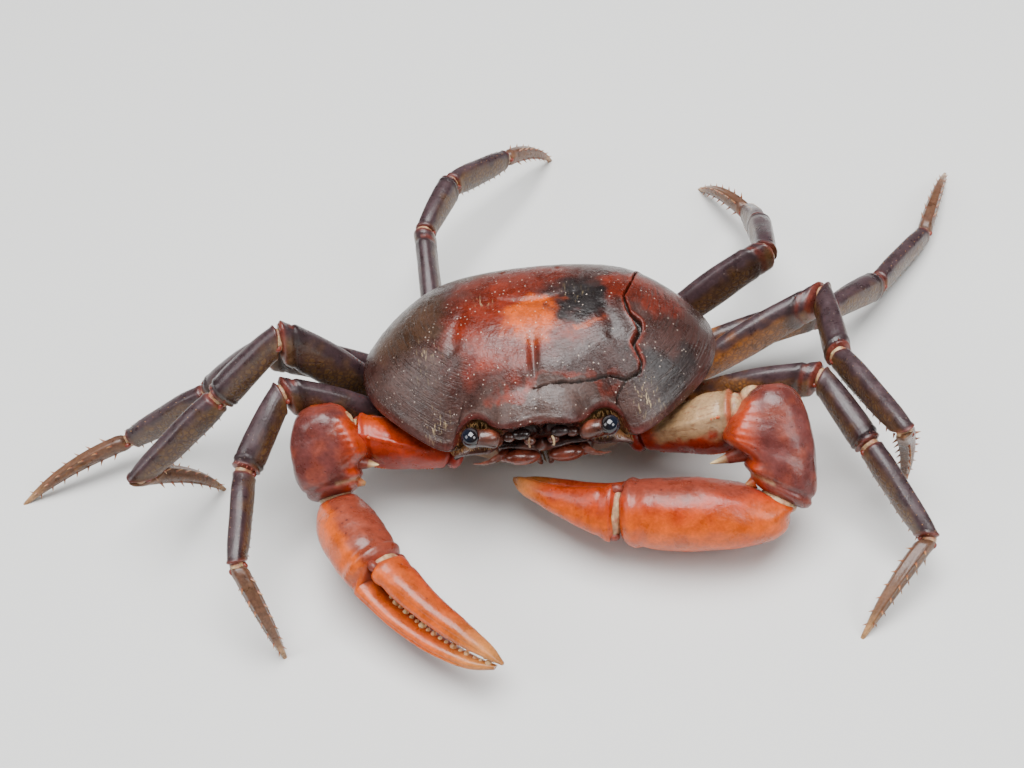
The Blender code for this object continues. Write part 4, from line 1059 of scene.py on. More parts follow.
def walkingLeg(number, side):
    name = f"leg{number}_{sideName(side)}"
    root, joints, planes, wall = legJoints(number, side)
    half = legs["gap"] / 2

    # The hip: a stout ring at the breastplate and the short basis before the merus.
    bm = newBmesh()
    u = np.linspace(0, 1, 34)
    path = root + (joints[0] - root) * u[:, None]
    along, above, across = limbFrame(path)
    offsets, _, s = sectionOffsets(stationSizes(legs["coxa"], u), above, across, legs["sides"], 0.9)
    ring = 0.12 * bump(u - 0.1, 0.05) - 0.42 * bump(u - 0.34, 0.03)
    ring = ring + 0.1 * bump(u - 0.5, 0.08) - 0.4 * bump(u - 0.8, 0.03)
    offsets = offsets + unit(offsets) * (ring - 0.3 * eased(u, 0.95, 1.0))[:, None, None]
    points = mitred(path, offsets, along, u, (wall, legs["gap"]), (planes[0], half))
    grain = fuzz(points, 1.4, number * 2.0, 2)
    tone = mixed(paint["belly"], paint["legSide"], 0.35 + 0.5 * grain + 0.4 * eased(s, 0.0, 0.9))
    tone = mixed(tone, paint["skinCream"], 0.8 * (bump(u - 0.34, 0.035) + bump(u - 0.8, 0.035))[:, None])
    wrapped(bm, points, tone)
    addPiece(f"{name}_hip", bm, finishes["belly"])

    skin = newBmesh()
    for index, part in enumerate(("merus", "carpus", "propodus", "dactylus")):
        bm = newBmesh()
        start = (planes[index], half)
        end = (planes[index + 1], half) if index < 3 else (np.array([0, 0, -1.0]), 0.0)
        made = legSegment(bm, part, number, side, joints[index], joints[index + 1], start, end)
        legSpines(bm, part, made)
        if part == "dactylus":
            # No spine may reach under the floor.
            for vert in bm.verts:
                vert.co.z = max(vert.co.z, 0.0)
        _, path, along, above, across, sizes = made
        # Two red knobs carry each joint.
        for sign in (-1, 1):
            knob = path[0] + across[0] * sign * sizes[0][2] * 0.92 + along[0] * 0.5
            bead(bm, knob, (0.42, 0.42, 0.5), paint["legRed"], along[0], 12, 8)
        addPiece(f"{name}_{part}", bm, finishes["leg"], [f"{name}_{part}"])
        jointSkin(skin, joints[index], planes[index], above[0], sizes[0], 1.04 if index else 0.98)
    addPiece(f"{name}_skin", skin, finishes["skin"])


for side in (-1, 1):
    for number in (2, 3, 4, 5):
        walkingLeg(number, side)
print("walking legs ready")


claws = {
    "root": (11.9, -10.8, -9.7), "hip": (13.9, -11.5, -8.8),
    "lengths": {-1: (12.7, 11.8, 15.2, 21.2), 1: (13.4, 15.0, 21.1, 16.1)},
    # Heading and rise of arm, knuckle, palm and fingers.
    "poses": {
        -1: ((-10, 13), (92, -52), (116, -1), (138, -7)), 1: ((6, 17), (90, -40), (-176, -3), (-153, -3)),
    },
    "roll": {-1: 35.0, 1: -48.0}, "elbow": {-1: (4.5, 1.0, 3.8), 1: (4.5, 1.7, 3.3)}, "wristTurn": 0.6,
    # How far the knuckle reaches back over the elbow, how far it widens inwards, and its spine: the
    # share of its length where that stands, and how far in the tip is.
    "reach": {-1: 1.8, 1: 0.5}, "wing": {-1: 1.4, 1: 2.6}, "spine": {-1: (0.66, 6.8), 1: (0.63, 8.9)},
    # How much the heel of the palm is rounded off.
    "heel": {-1: 0.3, 1: 1.7},
    # The rosy face: each part's share of it, which way it looks on the hand (out, up), and between
    # which values it sets in there.
    "rosy": {"merus": 0.0, "carpus": 1.0, "palm": 0.9, "finger": 0.35},
    "rosyLook": {-1: (-0.55, 0.84), 1: (-0.95, -0.1)}, "rosyStart": {-1: (-0.2, 0.15), 1: (0.15, 0.6)},
    "merus": {
        -1: [(0.0, 2.3, 2.2, 2.0, 2.0), (0.3, 2.3, 2.9, 2.4, 2.3), (0.75, 3.3, 4.3, 3.2, 2.7),
             (1.0, 3.4, 4.1, 3.0, 2.6)],
        1: [(0.0, 2.3, 2.2, 2.0, 2.0), (0.3, 2.9, 3.0, 2.6, 2.5), (0.75, 4.3, 4.4, 3.6, 3.3),
            (1.0, 4.2, 4.1, 3.4, 3.1)],
    },
    # From here on the sizes are above, below, outer side and inner side.
    "carpus": [(0.0, 3.0, 1.6, 2.6, 2.4), (0.12, 4.1, 2.1, 3.9, 3.3), (0.3, 4.6, 2.9, 4.8, 3.9),
               (0.55, 4.7, 3.5, 5.1, 4.3), (0.85, 4.2, 3.4, 4.5, 4.0), (1.0, 3.1, 3.0, 3.2, 3.0)],
    "sides": 56, "square": 0.86,
    # Share of the way, then top, bottom, outer and inner size.
    "palm": {
        -1: [(0.0, 2.6, 2.4, 2.5, 2.3), (0.15, 3.5, 3.0, 3.6, 3.1), (0.36, 4.5, 3.6, 4.4, 3.7),
             (0.6, 4.9, 3.7, 4.5, 3.8), (0.86, 4.9, 3.5, 4.2, 3.6), (1.0, 4.6, 3.3, 3.9, 3.4)],
        1: [(0.0, 2.9, 2.7, 2.8, 2.6), (0.15, 4.2, 3.9, 4.1, 3.6), (0.36, 5.2, 5.0, 5.0, 4.4),
            (0.6, 5.5, 5.3, 5.2, 4.5), (0.86, 5.3, 5.0, 5.0, 4.3), (1.0, 5.0, 4.7, 4.7, 4.1)],
    },
    "fixed": {
        -1: [(0.0, 0.0, 3.2, 3.4, 3.0), (0.12, -0.5, 3.1, 2.9, 2.6), (0.38, -0.6, 3.0, 2.3, 2.1),
             (0.67, -0.3, 2.5, 1.7, 1.6), (0.9, 0.2, 1.3, 1.0, 1.0), (1.0, 0.75, 0.05, 0.4, 0.4)],
        1: [(0.0, 0.0, 4.6, 3.9, 3.4), (0.12, -0.6, 4.2, 3.3, 2.9), (0.38, -0.8, 3.7, 2.5, 2.3),
            (0.67, -0.5, 3.0, 1.8, 1.7), (0.9, 0.2, 1.5, 1.0, 1.0), (1.0, 0.75, 0.0, 0.4, 0.4)],
    },
    "finger": {
        -1: [(0.0, 4.4, -0.6, 2.9, 2.6), (0.12, 4.7, -0.7, 2.9, 2.6), (0.4, 4.3, -0.8, 2.3, 2.1),
             (0.7, 3.7, -0.9, 1.7, 1.6), (0.92, 2.4, -1.2, 0.95, 0.95), (1.0, 1.5, -1.2, 0.3, 0.3)],
        1: [(0.0, 4.9, -0.6, 4.3, 3.8), (0.12, 5.0, -0.8, 3.7, 3.3), (0.4, 4.5, -1.0, 2.6, 2.3),
            (0.7, 3.8, -1.1, 1.6, 1.5), (0.92, 2.5, -1.2, 0.95, 0.95), (1.0, 1.5, -1.2, 0.3, 0.3)],
    },
    # Where they begin and end, before or past the hinge and the tip.
    "palmEnd": -0.25, "fixedEnds": (0.15, -0.3), "fingerEnds": (0.55, 0.4),
}


def clawUp(along, side):
    up, roll = upright(along), math.radians(claws["roll"][side])
    return unit(up * math.cos(roll) + side * np.cross(along, up) * math.sin(roll))


# Orange, redder inside and below, rosy brown where the weather falls on it.
def clawTone(part, side, c, s, points):
    grain = fuzz(points, 3.0, 5.0 + side)
    fineGrain = fuzz(points, 0.9, 8.0 + side, 2)
    outer = -c * side
    if part in ("palm", "finger"):
        (outShare, upShare), (low, high) = claws["rosyLook"][side], claws["rosyStart"][side]
    else:
        outShare, upShare, low, high = -0.05 * side * (part == "carpus"), 1.0, -0.15, 0.4
    top = eased(outer * outShare + s * upShare + 0.22 * grain, low, high)
    bright = eased(outer + 0.3 * s + 0.3 * grain, -0.3, 0.7)
    tone = mixed(paint["clawOrange"], paint["clawBright"], 0.85 * bright)
    tone = mixed(tone, paint["clawRed"], 0.45 * (1 - bright) * (1 - top) + 0.25 * eased(grain, 0.1, 0.6))
    tone = mixed(tone, paint["clawRose"], claws["rosy"][part] * top)
    if part == "merus":
        tone = mixed(tone, paint["clawRed"], 0.6)
    if part == "carpus":
        tone = mixed(tone, paint["clawPurple"], 0.85 * top * eased(grain + 0.3, -0.1, 0.4))
    return tone * (1 + 0.13 * fineGrain[..., None]), top


def clawLimb(bm, part, side, a, b, table, start, end, rings=72):
    u = np.linspace(0, 1, rings)
    path = a + (b - a) * u[:, None]
    along, above, across = limbFrame(path)
    sizes = stationSizes(table, u)
    if part == "carpus" and side > 0:
        sizes = sizes[:, [0, 1, 3, 2]]
    offsets, c, s = sectionOffsets(sizes, above, across, claws["sides"], claws["square"])
    uu = u[:, None]
    inner = c * side
    if part == "merus":
        # Three keels, the sharpest one along the upper inner edge, and a rolled lip at the far end.
        keels = 0.36 * bump(np.abs(c) - 0.74, 0.13) * (s < 0) + 0.34 * bump(s - 0.78, 0.09) * (inner > 0)
        relief = keels * eased(uu, 0.08, 0.3) - 0.14 * bump(uu - 0.9, 0.03) + 0.08 * bump(uu - 0.955, 0.025)
    else:
        # A plump hooded knuckle, its inner edge notched and its far edge rolled for the palm.
        notches = 0.88 + 0.12 * np.cos(uu * 75)
        crest = bump(inner - 0.76, 0.13) * (s > -0.1) * eased(uu, 0.06, 0.16) * (1 - eased(uu, 0.56, 0.66))
        relief = 0.55 * crest * notches + 0.28 * bump(inner + 0.82, 0.14) * bump(uu - 0.5, 0.35)
        relief = relief - 0.22 * bump(uu - 0.885, 0.022) + 0.14 * bump(uu - 0.94, 0.028)
        relief = relief + 0.35 * bump(inner - 0.8, 0.25) * bump(uu - 0.84, 0.05)
        relief = relief - 0.4 * bump(inner - 0.85, 0.25) * bump(uu - 0.74, 0.05)
        wing = claws["wing"][side] * eased(uu, 0.02, 0.54) * (1 - eased(uu, 0.60, 0.74))
        relief = relief + wing * bump(np.clip(inner, None, 1.0) - 1.0, 0.4) - 0.5 * (1 - eased(uu, 0.0, 0.06))
    relief = relief - 0.45 * (1 - eased(uu, 0, 0.035)) - 0.5 * eased(uu, 0.972, 1.0)
    lumps = fuzz(path[:, None] + offsets, 2.2, 31.0)
    offsets = offsets + unit(offsets) * (relief + 0.13 * lumps)[..., None]
    points = mitred(path, offsets, along, u, start, end)
    tone, top = clawTone(part, side, c, s, points)
    marks = np.zeros(points.shape)
    marks[..., 1] = (0.15 + 0.6 * top) * (part == "carpus")
    edge = bump(uu - 0.955, 0.03) + bump(uu - 0.02, 0.03)
    tone = mixed(tone, paint["legRed"] if part == "carpus" else paint["clawRed"], 0.55 * edge)
    if part == "carpus":
        innerEdge = bump(inner - 0.8, 0.22) * (s > -0.2) * eased(uu, 0.08, 0.2)
        tone = mixed(tone, paint["clawOrange"], 0.8 * innerEdge)
        tone = mixed(tone, paint["skinCream"], 0.45 * bump(uu - 0.885, 0.02) * (inner > 0.2))
    if part == "merus" and side > 0:
        worn = eased(s + 0.3 * lumps, 0.0, 0.3) * eased(uu, 0.1, 0.26) * (1 - 0.7 * eased(uu, 0.93, 0.98))
        tone = mixed(tone, paint["bleached"], worn * 0.95)
        marks[..., 0] = worn
    wrapped(bm, points, tone, marks)
    return u, path, along, above, across, sizes


# Place, direction along and direction up of the hand's bowed centre line, at these steps from the wrist.
def handLine(curve, steps):
    u = steps / curve["total"]
    path = (1 - u)[:, None] ** 2 * curve["wrist"] + u[:, None] ** 2 * curve["tip"]
    path = path + (2 * u * (1 - u))[:, None] * curve["bendAt"]
    turn = eased(steps / (2 * curve["palmLength"]))[:, None]
    along = unit(curve["first"] * (1 - turn) + curve["second"] * turn)
    return u, path, along, unit(curve["up"] - (along @ curve["up"])[:, None] * along)


# Upright sections along that line, so that the two fingers stay parallel.
def handSweep(side, curve, sizes, steps):
    u, path, along, above = handLine(curve, steps)
    middle, half = (sizes[:, 0] - sizes[:, 1]) / 2, (sizes[:, 0] + sizes[:, 1]) / 2
    path = path + above * middle[:, None]
    ordered = np.stack([half, half, sizes[:, 2], sizes[:, 3]], -1)
    if side > 0:
        ordered = ordered[:, [0, 1, 3, 2]]
    offsets, c, s = sectionOffsets(ordered, above, np.cross(along, above), claws["sides"], claws["square"])
    return u, path, offsets, along, above, c, s, ordered


# Blunt teeth of uneven size along a finger's biting edge.
def toothRow(bm, curve, table, steps, column, sign):
    table = np.array(table)
    _, path, along, above = handLine(curve, steps)
    for n, step in enumerate(steps):
        edge = np.interp(step, table[:, 0], table[:, 1 + column]) * sign
        big = 0.8 + 0.5 * (n % 5 == 1) + 0.25 * (n % 5 == 3) - 0.012 * n
        spot = path[n] + above[n] * (edge - sign * 0.12) + along[n] * dice.uniform(-0.12, 0.12)
        tone = mixed(paint["tooth"], paint["clawOrange"], 0.25 + 0.15 * (n % 3))
        bead(bm, spot, (0.42 * big, 0.46 * big, 0.62 * big), tone, above[n] * sign, 12, 9)


# Where the joints of a claw leg are, with the directions and planes between its parts.
def clawJoints(side):
    lengths = claws["lengths"][side]
    aims = [aimed(side, *pose) for pose in claws["poses"][side]]
    root, hip = placed(onSide(side, claws["root"])), placed(onSide(side, claws["hip"]))
    armEnd = hip + aims[0] * lengths[0]
    elbow = armEnd + onSide(side, claws["elbow"][side])
    wrist = elbow + aims[1] * lengths[1]
    hinge = wrist + aims[2] * lengths[2]
    tip = hinge + aims[3] * lengths[3]
    # The hand's centre line bows from the wrist through the hinge to the tip.
    total = lengths[2] + lengths[3]
    bend = lengths[2] / total
    curve = {
        "wrist": wrist, "tip": tip, "total": total, "palmLength": lengths[2], "fingerLength": lengths[3],
        "bendAt": (hinge - (1 - bend) ** 2 * wrist - bend**2 * tip) / (2 * bend * (1 - bend)),
        "up": clawUp(unit(tip - wrist), side), "first": unit(hinge - wrist), "second": unit(tip - hinge),
    }
    return {
        "root": root, "hip": hip, "armEnd": armEnd, "elbow": elbow, "wrist": wrist, "curve": curve,
        "armAim": aims[0], "knuckleAim": aims[1], "knuckleLength": lengths[1],
        "outward": unit(aims[0] - np.dot(aims[0], aims[1]) * aims[1]),
        "wristPlane": unit(aims[1] + claws["wristTurn"] * aims[2]),
    }


def clawArm(name, side, spots):
    coxaAim = unit(spots["hip"] - spots["root"])
    shoulder = unit(coxaAim + spots["armAim"])
    bm = newBmesh()
    middle = (spots["root"] + spots["hip"]) / 2 + coxaAim * 0.3
    bead(bm, middle, (2.2, 2.2, 1.4), paint["clawRed"], coxaAim, 28, 18)
    ends = (shoulder, 0.0), (spots["outward"], legs["gap"] / 2)
    made = clawLimb(bm, "merus", side, spots["hip"], spots["armEnd"], claws["merus"][side], *ends)
    # A row of grains along each of the three keels.
    grainTone = mixed(paint["clawOrange"], paint["spineTan"], 0.2)
    for x, y in ((side * 0.62, 0.72), (side * 0.72, -0.68), (-side * 0.72, -0.68)):
        for at in np.linspace(0.14, 0.88, 30):
            middle, _, span = reachOut(made, at, x, y)
            size = 0.17 + 0.13 * at + dice.uniform(-0.05, 0.05)
            bead(bm, middle + span * 1.12, (size, size, size * 0.9), grainTone, unit(span), 8, 6)
    addPiece(f"{name}_arm", bm, finishes["claw"], [f"{name}_merus"])


def clawKnuckle(name, side, spots):
    elbow, aim, length = spots["elbow"], spots["knuckleAim"], spots["knuckleLength"]
    bm = newBmesh()
    ends = (aim, 0.0), (spots["wristPlane"], legs["gap"] / 2)
    back = elbow - aim * claws["reach"][side]
    made = clawLimb(bm, "carpus", side, back, spots["wrist"], claws["carpus"], *ends)
    u, path, _, above, _, sizes = made
    inner = np.cross(aim, upright(aim)) * side
    # The long spine on its broad root, a blunt one beyond it, and a row of grains.
    share, spineReach = claws["spine"][side]
    base = elbow + aim * length * (share - 0.1) + inner * 2.8
    spike = elbow + aim * length * share + inner * spineReach
    middle = base + (spike - base) * 0.62 + aim * 0.12
    rootTone = mixed(paint["clawRose"], paint["clawOrange"], 0.4)
    thorn(bm, base, middle, 1.7, rootTone, 20, 0.42, paint["clawRose"])
    thorn(bm, base + (middle - base) * 0.93, spike, 0.76, paint["clawRose"], 16, 0.08, paint["tooth"])
    low = elbow + aim * length * 0.83 + inner * 3.2
    thorn(bm, low, low + inner * 1.3 + aim * 0.5, 0.95, paint["clawOrange"], 16, 0.3, paint["spineTan"])
    for at in np.linspace(0.1, 0.56, 14):
        k = int(np.argmin(np.abs(u - at)))
        spot = path[k] + inner * sizes[k][2 if side > 0 else 3] * 0.93 + above[k] * 1.5
        size = dice.uniform(0.17, 0.26)
        bead(bm, spot, (size, size, size), mixed(paint["clawOrange"], paint["spineTan"], 0.3), inner, 8, 6)
    addPiece(f"{name}_wrist", bm, finishes["claw"], [f"{name}_carpus"])


# The palm with its fixed finger. It hands back the section that the wrist's skin starts from.
def clawHand(name, side, spots):
    curve = spots["curve"]
    total, palmLength = curve["total"], curve["palmLength"]
    palmEnd = palmLength + claws["palmEnd"]
    palmTable = [(share * palmEnd, *row) for share, *row in claws["palm"][side]]
    begin, end = palmLength + claws["fixedEnds"][0], total + claws["fixedEnds"][1]
    fixedTable = [(begin + share * (end - begin), *row) for share, *row in claws["fixed"][side]]
    spans = (palmTable, np.linspace(0, palmEnd, 70)), (fixedTable, np.linspace(begin, end, 96))
    steps = np.concatenate([places for _, places in spans])
    sizes = np.vstack([stationSizes(table, places) for table, places in spans])
    u, path, offsets, along, above, c, s, ordered = handSweep(side, curve, sizes, steps)
    beyond = eased(steps, palmLength - 0.2, palmLength + 1.2)[:, None]
    far = (steps - palmEnd)[:, None]
    # A rolled edge where the moving finger starts, a rounded heel, and a groove along the finger.
    edge = 0.20 * bump(far + 1.3, 0.5) - 0.14 * bump(far + 2.4, 0.6)
    edge = edge - 0.5 * eased(far, -0.6, 0.0) * (far <= 0)
    heel = (1 - eased(steps, 0.0, 6.0))[:, None] * eased(-c * side, 0.1, 0.9)
    relief = edge * eased(s, -0.75, -0.35) - 0.4 * (1 - eased(steps, 0.0, 0.5))[:, None]
    relief = relief - claws["heel"][side] * heel
    relief = relief + 0.10 * fuzz(path[:, None] + offsets, 2.6, 37.0) * (1 - 0.6 * beyond)
    relief = relief - 0.16 * bump(s + 0.15, 0.12) * beyond * (1 - eased(u, 0.85, 0.97))[:, None]
    offsets = offsets + unit(offsets) * relief[..., None]
    points = mitred(path, offsets, along, u, (spots["wristPlane"], legs["gap"] / 2), None, 4.0)
    tone, top = clawTone("palm", side, c, s, points)
    fingerTone, _ = clawTone("finger", side, c, s, points)
    tone = tone * (1 - beyond[..., None]) + fingerTone * beyond[..., None]
    redEdge = 0.3 * bump(far + 0.1, 0.3) + 0.5 * (1 - eased(steps, 0.0, 1.2))[:, None]
    tone = mixed(tone, paint["clawRed"], redEdge)
    ripe = eased(steps, palmLength + 0.55 * curve["fingerLength"], total)[:, None]
    tone = mixed(tone, paint["clawTip"], 0.85 * ripe)
    tone = mixed(tone, paint["mouthBrown"], 0.35 * bump(steps - total, 1.2)[:, None])
    marks = np.zeros(points.shape)
    marks[..., 1] = (0.12 + 0.88 * top) * (1 - 0.7 * beyond)
    bm = newBmesh()
    wrapped(bm, points, tone, marks)
    toothSteps = np.linspace(palmLength + 0.17 * curve["fingerLength"], total - 1.2, 17)
    toothRow(bm, curve, fixedTable, toothSteps, 0, 1.0)
    addPiece(f"{name}_hand", bm, finishes["claw"], [f"{name}_palm"])
    return path[3], along[3], above[3], ordered[3]


# The moving finger. It hands back its first section, for the skin and knobs of its hinge.
def clawFinger(name, side, spots):
    curve = spots["curve"]
    total, palmLength = curve["total"], curve["palmLength"]
    begin, end = palmLength + claws["fingerEnds"][0], total + claws["fingerEnds"][1]
    table = [(begin + share * (end - begin), *row) for share, *row in claws["finger"][side]]
    steps = np.linspace(begin, end, 104)
    _, path, offsets, along, above, c, s, ordered = handSweep(side, curve, stationSizes(table, steps), steps)
    share = ((steps - begin) / (end - begin))[:, None]
    swell = 0.14 * bump(share - 0.05, 0.035) - 0.12 * bump(share - 0.125, 0.03)
    swell = swell - 0.7 * (1 - eased(share, 0.0, 0.035)) + 0.05 * fuzz(path[:, None] + offsets, 2.0, 7.0)
    groove = -0.17 * bump(s - 0.1, 0.12) * eased(share, 0.15, 0.3) * (1 - eased(share, 0.8, 0.95))
    points = path[:, None] + offsets + unit(offsets) * (swell + groove)[..., None]
    tone, top = clawTone("finger", side, c, s, points)
    tone = mixed(tone, paint["clawTip"], 0.85 * eased(share, 0.55, 1.0))
    tone = mixed(tone, paint["mouthBrown"], 0.35 * bump(share - 1.0, 0.05))
    tone = mixed(tone, paint["clawRed"], 0.35 * bump(share - 0.02, 0.02) + 0.15 * bump(share - 0.125, 0.03))
    marks = np.zeros(points.shape)
    marks[..., 1] = (0.3 + 0.5 * top) * (1 - eased(share, 0.7, 0.9))
    bm = newBmesh()
    wrapped(bm, points, tone, marks)
    toothSteps = np.linspace(palmLength + 0.2 * curve["fingerLength"], total - 0.8, 15)
    toothRow(bm, curve, table, toothSteps, 1, -1.0)
    addPiece(f"{name}_finger", bm, finishes["claw"], [f"{name}_finger"])
    return path[0], along[0], above[0], ordered[0]


# Soft skin between arm and knuckle, at the wrist and under the finger's hinge, with the joints' knobs.
def clawSkins(name, side, spots, palmStart, fingerStart):
    outward, armAim, aim = spots["outward"], spots["armAim"], spots["knuckleAim"]
    armSizes = np.array(claws["merus"][side][-1][1:])
    skin = newBmesh()
    jointSkin(skin, spots["armEnd"] + outward * 0.2, outward, upright(armAim), armSizes, 0.98, 1.3)
    elbowSpot = spots["elbow"] - outward * 2.3 + aim * 1.3
    jointSkin(skin, elbowSpot, unit(outward + aim), upright(aim), (2.4, 2.1, 2.1, 2.1), 1.0, 2.0)
    spot, along, above, sizes = palmStart
    jointSkin(skin, spot - along * 0.7, spots["wristPlane"], above, sizes, 0.95, 1.6)
    spot, along, above, sizes = fingerStart
    jointSkin(skin, spot - along * 0.25, along, above, sizes, 0.96, 1.0)
    armSide, hingeSide = np.cross(outward, upright(armAim)), np.cross(along, above)
    for turn in (1.0, -1.0):
        knob = spots["armEnd"] + outward * 0.3 + armSide * turn * armSizes[2] * 0.75 + upright(armAim) * 0.8
        bead(skin, knob, (0.75, 0.75, 0.75), paint["legRed"], outward, 14, 10)
    for turn in (-1.0, 1.0):
        knob = spot + hingeSide * turn * sizes[2] * 0.86 + above * sizes[0] * 0.2
        bead(skin, knob, (0.7, 0.7, 0.9), paint["legRed"], along, 14, 10)
    addPiece(f"{name}_skin", skin, finishes["skin"])


def clawLeg(side):
    name = f"cheliped_{sideName(side)}"
    spots = clawJoints(side)
    clawArm(name, side, spots)
    clawKnuckle(name, side, spots)
    palmStart = clawHand(name, side, spots)
    fingerStart = clawFinger(name, side, spots)
    clawSkins(name, side, spots, palmStart, fingerStart)


for side in (-1, 1):
    clawLeg(side)
print("claw legs ready")


under = {
    "top": -6.6, "floor": -13.2,
    # Half outlines of the breastplate at its top and at its floor.
    "upper": [
        (0.0, -12.2), (6.3, -12.2), (7.2, -14.0), (10.2, -12.9), (13.2, -7.9), (11.6, 13.5), (8.0, 16.6),
        (0.0, 17.2),
    ],
    "lower": [
        (0.0, -7.9), (5.6, -7.9), (6.3, -9.3), (8.8, -8.8), (13.2, -6.6), (11.6, 12.2), (7.4, 13.6),
        (0.0, 13.9),
    ],
    "middle": (0.0, 2.5), "sutures": [-5.6, -1.8, 3.1, 8.3, 12.0],
    # How deep and how large each ring is, round the edge and then inwards over the floor.
    "edge": [(0.88, 0.995), (0.93, 0.985), (0.97, 0.965), (0.99, 0.94), (1.0, 0.9)],
    "floorRings": (0.84, 0.77, 0.7, 0.62, 0.54, 0.46, 0.38, 0.3, 0.22, 0.14, 0.07),
    # The tail flap's middle line from the shell's rear rim to its tip, its half widths and its seams.
    "tail": [
        (0, 16.6, -5.9), (0, 18.5, -7.3), (0, 18.9, -9.4), (0, 17.4, -12.6), (0, 13.4, -14.3),
        (0, 5.0, -14.5), (0, -4.2, -14.3),
    ],
    "tailWidth": ((0, 0.3, 0.6, 0.82, 1.0), (5.4, 5.6, 4.2, 2.6, 1.0)),
    "tailSeams": (0.13, 0.27, 0.4, 0.53, 0.66, 0.82),
}


# Evenly spaced points along a half outline.
def outlineAt(corners, count):
    corners = np.array(corners, float)
    run = np.concatenate([[0], np.cumsum(np.hypot(*np.diff(corners, axis=0).T))])
    at = np.linspace(0, run[-1], count)
    return np.stack([np.interp(at, run, corners[:, k]) for k in (0, 1)], -1)


def breastplate():
    count = 90
    rings, zone = [], []
    upper, lower = outlineAt(under["upper"], count), outlineAt(under["lower"], count)
    middle = np.array(under["middle"])
    wall = [(depth, 1.0) for depth in np.linspace(0, 0.82, 12)]
    for depth, scale in wall + under["edge"] + [(1.0, scale) for scale in under["floorRings"]]:
        half = upper * (1 - depth) + lower * depth
        half = middle + (half - middle) * scale
        half[:, 0] = np.maximum(half[:, 0], 0.0)
        level = np.full(count, under["top"] + (under["floor"] - under["top"]) * depth)
        flat = (scale < 0.95) * 1.0
        suture = sum(bump(half[:, 1] - y - 0.12 * half[:, 0], 0.28) for y in under["sutures"])
        trough = bump(half[:, 0], 2.6)
        level = level + flat * (0.45 * suture * eased(half[:, 0], 2.0, 3.6) + 0.35 * trough)
        half[:, 0] -= 0.35 * (1 - flat) * suture * (half[:, 0] > 9)
        ring = np.column_stack([half, level])
        rings.append(np.vstack([ring, (ring * (-1, 1, 1))[-2:0:-1]]))
        zone.append(np.concatenate([suture, suture[-2:0:-1]]))
    points, zone = np.array(rings), np.array(zone)
    grain = fuzz(points, 3.0, 2.0)
    tone = mixed(paint["belly"], paint["bellyLine"], 0.2 + 0.35 * grain)
    tone = mixed(tone, paint["bellyLine"], 0.85 * zone)
    tone = mixed(tone, paint["mouthBrown"], 0.5 * eased(-points[..., 1], 7.0, 12.0))
    bm = newBmesh()
    wrapped(bm, points, tone, (0.0, 1.0, 0.0))
    setInPlace(bm)
    addPiece("breastplate", bm, finishes["belly"], ["thorax"])


def tailFlap():
    line = through(under["tail"], 26)
    u = np.linspace(0, 1, len(line))
    outward = np.cross(unit(np.gradient(line, axis=0)), [1.0, 0.0, 0.0])
    seams = sum(bump(u - at, 0.007) for at in under["tailSeams"])
    half = np.interp(u, *under["tailWidth"]) * (1 - 0.05 * seams)
    thick = 0.62 * (1 - 0.55 * seams) * (1 - 0.5 * eased(u, 0.95, 1.0))
    turn = np.arange(44) * 2 * math.pi / 44
    c, s = np.cos(turn), np.sin(turn)
    points = np.repeat(line[:, None], 44, axis=1)
    points[..., 0] += half[:, None] * (np.sign(c) * np.abs(c) ** 0.7)[None]
    points = points + outward[:, None] * (thick[:, None] * s[None])[..., None]
    grain = fuzz(points, 2.0, 4.0)
    tone = mixed(paint["belly"], paint["bellyLine"], 0.15 + 0.35 * grain)
    tone = mixed(tone, paint["bellyLine"], 0.9 * seams[:, None] + 0.4 * eased(np.abs(c), 0.9, 1.0)[None])
    bm = newBmesh()
    wrapped(bm, placed(points), tone, (0.0, 1.0, 0.0))
    addPiece("tailFlap", bm, finishes["belly"], ["abdomen"])


breastplate()
tailFlap()
print("underside ready")


stage = {
    "floorSize": 3.0, "floorColour": (0.68, 0.68, 0.665),
    # Place, size across and power of each lamp, all aimed at the crab.
    "lamps": [
        ((0.03, 0.02, 0.70), 0.55, 12.5), ((0.45, -0.30, 0.45), 0.30, 2.0), ((-0.55, -0.15, 0.45), 0.35, 1.8),
    ],
    "sky": (0.80, 0.86, 0.92), "skyPower": 0.17,
    "azimuth": 6.3, "elevation": 48.0, "roll": -10.1, "distance": 0.1796,
    "target": (0.00105, -0.01433, 0.0150), "focalPixels": 1250.0,
}


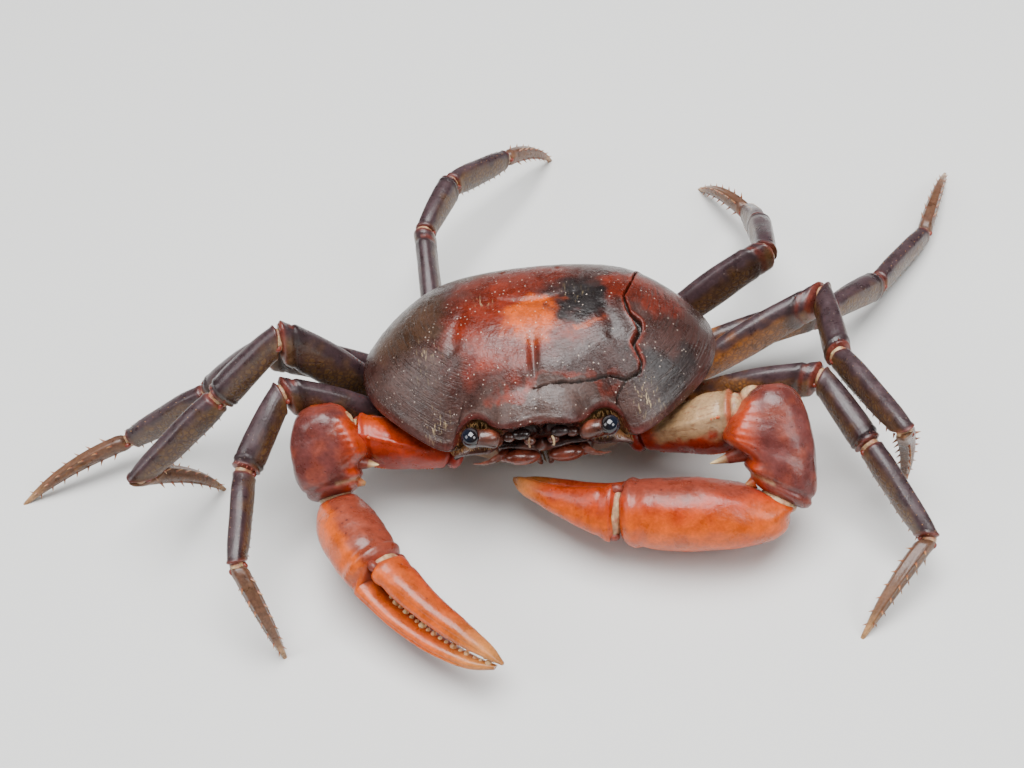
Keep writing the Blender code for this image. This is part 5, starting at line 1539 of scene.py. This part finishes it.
def makeStage():
    bm = bmesh.new()
    bmesh.ops.create_grid(bm, x_segments=1, y_segments=1, size=stage["floorSize"] / 2)
    mesh = bpy.data.meshes.new("floor")
    bm.to_mesh(mesh)
    bm.free()
    floor = bpy.data.objects.new("floor", mesh)
    bpy.context.scene.collection.objects.link(floor)
    finish = bpy.data.materials.new("paleFloor")
    finish.use_nodes = True
    tree = finish.node_tree
    shader = tree.nodes["Principled BSDF"]
    cloudy = put(tree, "ShaderNodeTexNoise", {"Scale": 9.0, "Detail": 4.0}).outputs["Fac"]
    darker = tuple(0.97 * value for value in stage["floorColour"])
    pale = colourMix(tree, ranged(tree, cloudy, 0.3, 0.7), stage["floorColour"], darker)
    tree.links.new(pale, shader.inputs["Base Color"])
    shader.inputs["Roughness"].default_value = 0.7
    mesh.materials.append(finish)
    aimAt = Vector(stage["target"])
    for k, (place, size, power) in enumerate(stage["lamps"]):
        light = bpy.data.lights.new(f"softbox{k}", "AREA")
        light.size, light.energy = size, power
        lamp = bpy.data.objects.new(f"softbox{k}", light)
        lamp.location = place
        lamp.rotation_euler = (aimAt - Vector(place)).to_track_quat("-Z", "Y").to_euler()
        bpy.context.scene.collection.objects.link(lamp)
    world = bpy.data.worlds.new("studio")
    world.use_nodes = True
    background = world.node_tree.nodes["Background"]
    background.inputs["Color"].default_value = (*stage["sky"], 1.0)
    background.inputs["Strength"].default_value = stage["skyPower"]
    bpy.context.scene.world = world


def makeCamera():
    azimuth, elevation, roll = (math.radians(stage[k]) for k in ("azimuth", "elevation", "roll"))
    level = math.cos(elevation)
    back = Vector((math.sin(azimuth) * level, -math.cos(azimuth) * level, math.sin(elevation)))
    right = (-back).cross(Vector((0, 0, 1))).normalized()
    up = right.cross(-back)
    turnedRight = math.cos(roll) * right + math.sin(roll) * up
    turnedUp = -math.sin(roll) * right + math.cos(roll) * up
    data = bpy.data.cameras.new("camera")
    data.sensor_width = 36.0
    data.lens = stage["focalPixels"] * data.sensor_width / 1024
    data.clip_start, data.clip_end = 0.005, 10.0
    camera = bpy.data.objects.new("camera", data)
    camera.matrix_world = Matrix.Translation(Vector(stage["target"]) + back * stage["distance"]) @ Matrix(
        (turnedRight, turnedUp, back)).transposed().to_4x4()
    bpy.context.scene.collection.objects.link(camera)
    bpy.context.scene.camera = camera


makeStage()
makeCamera()
print("stage ready")
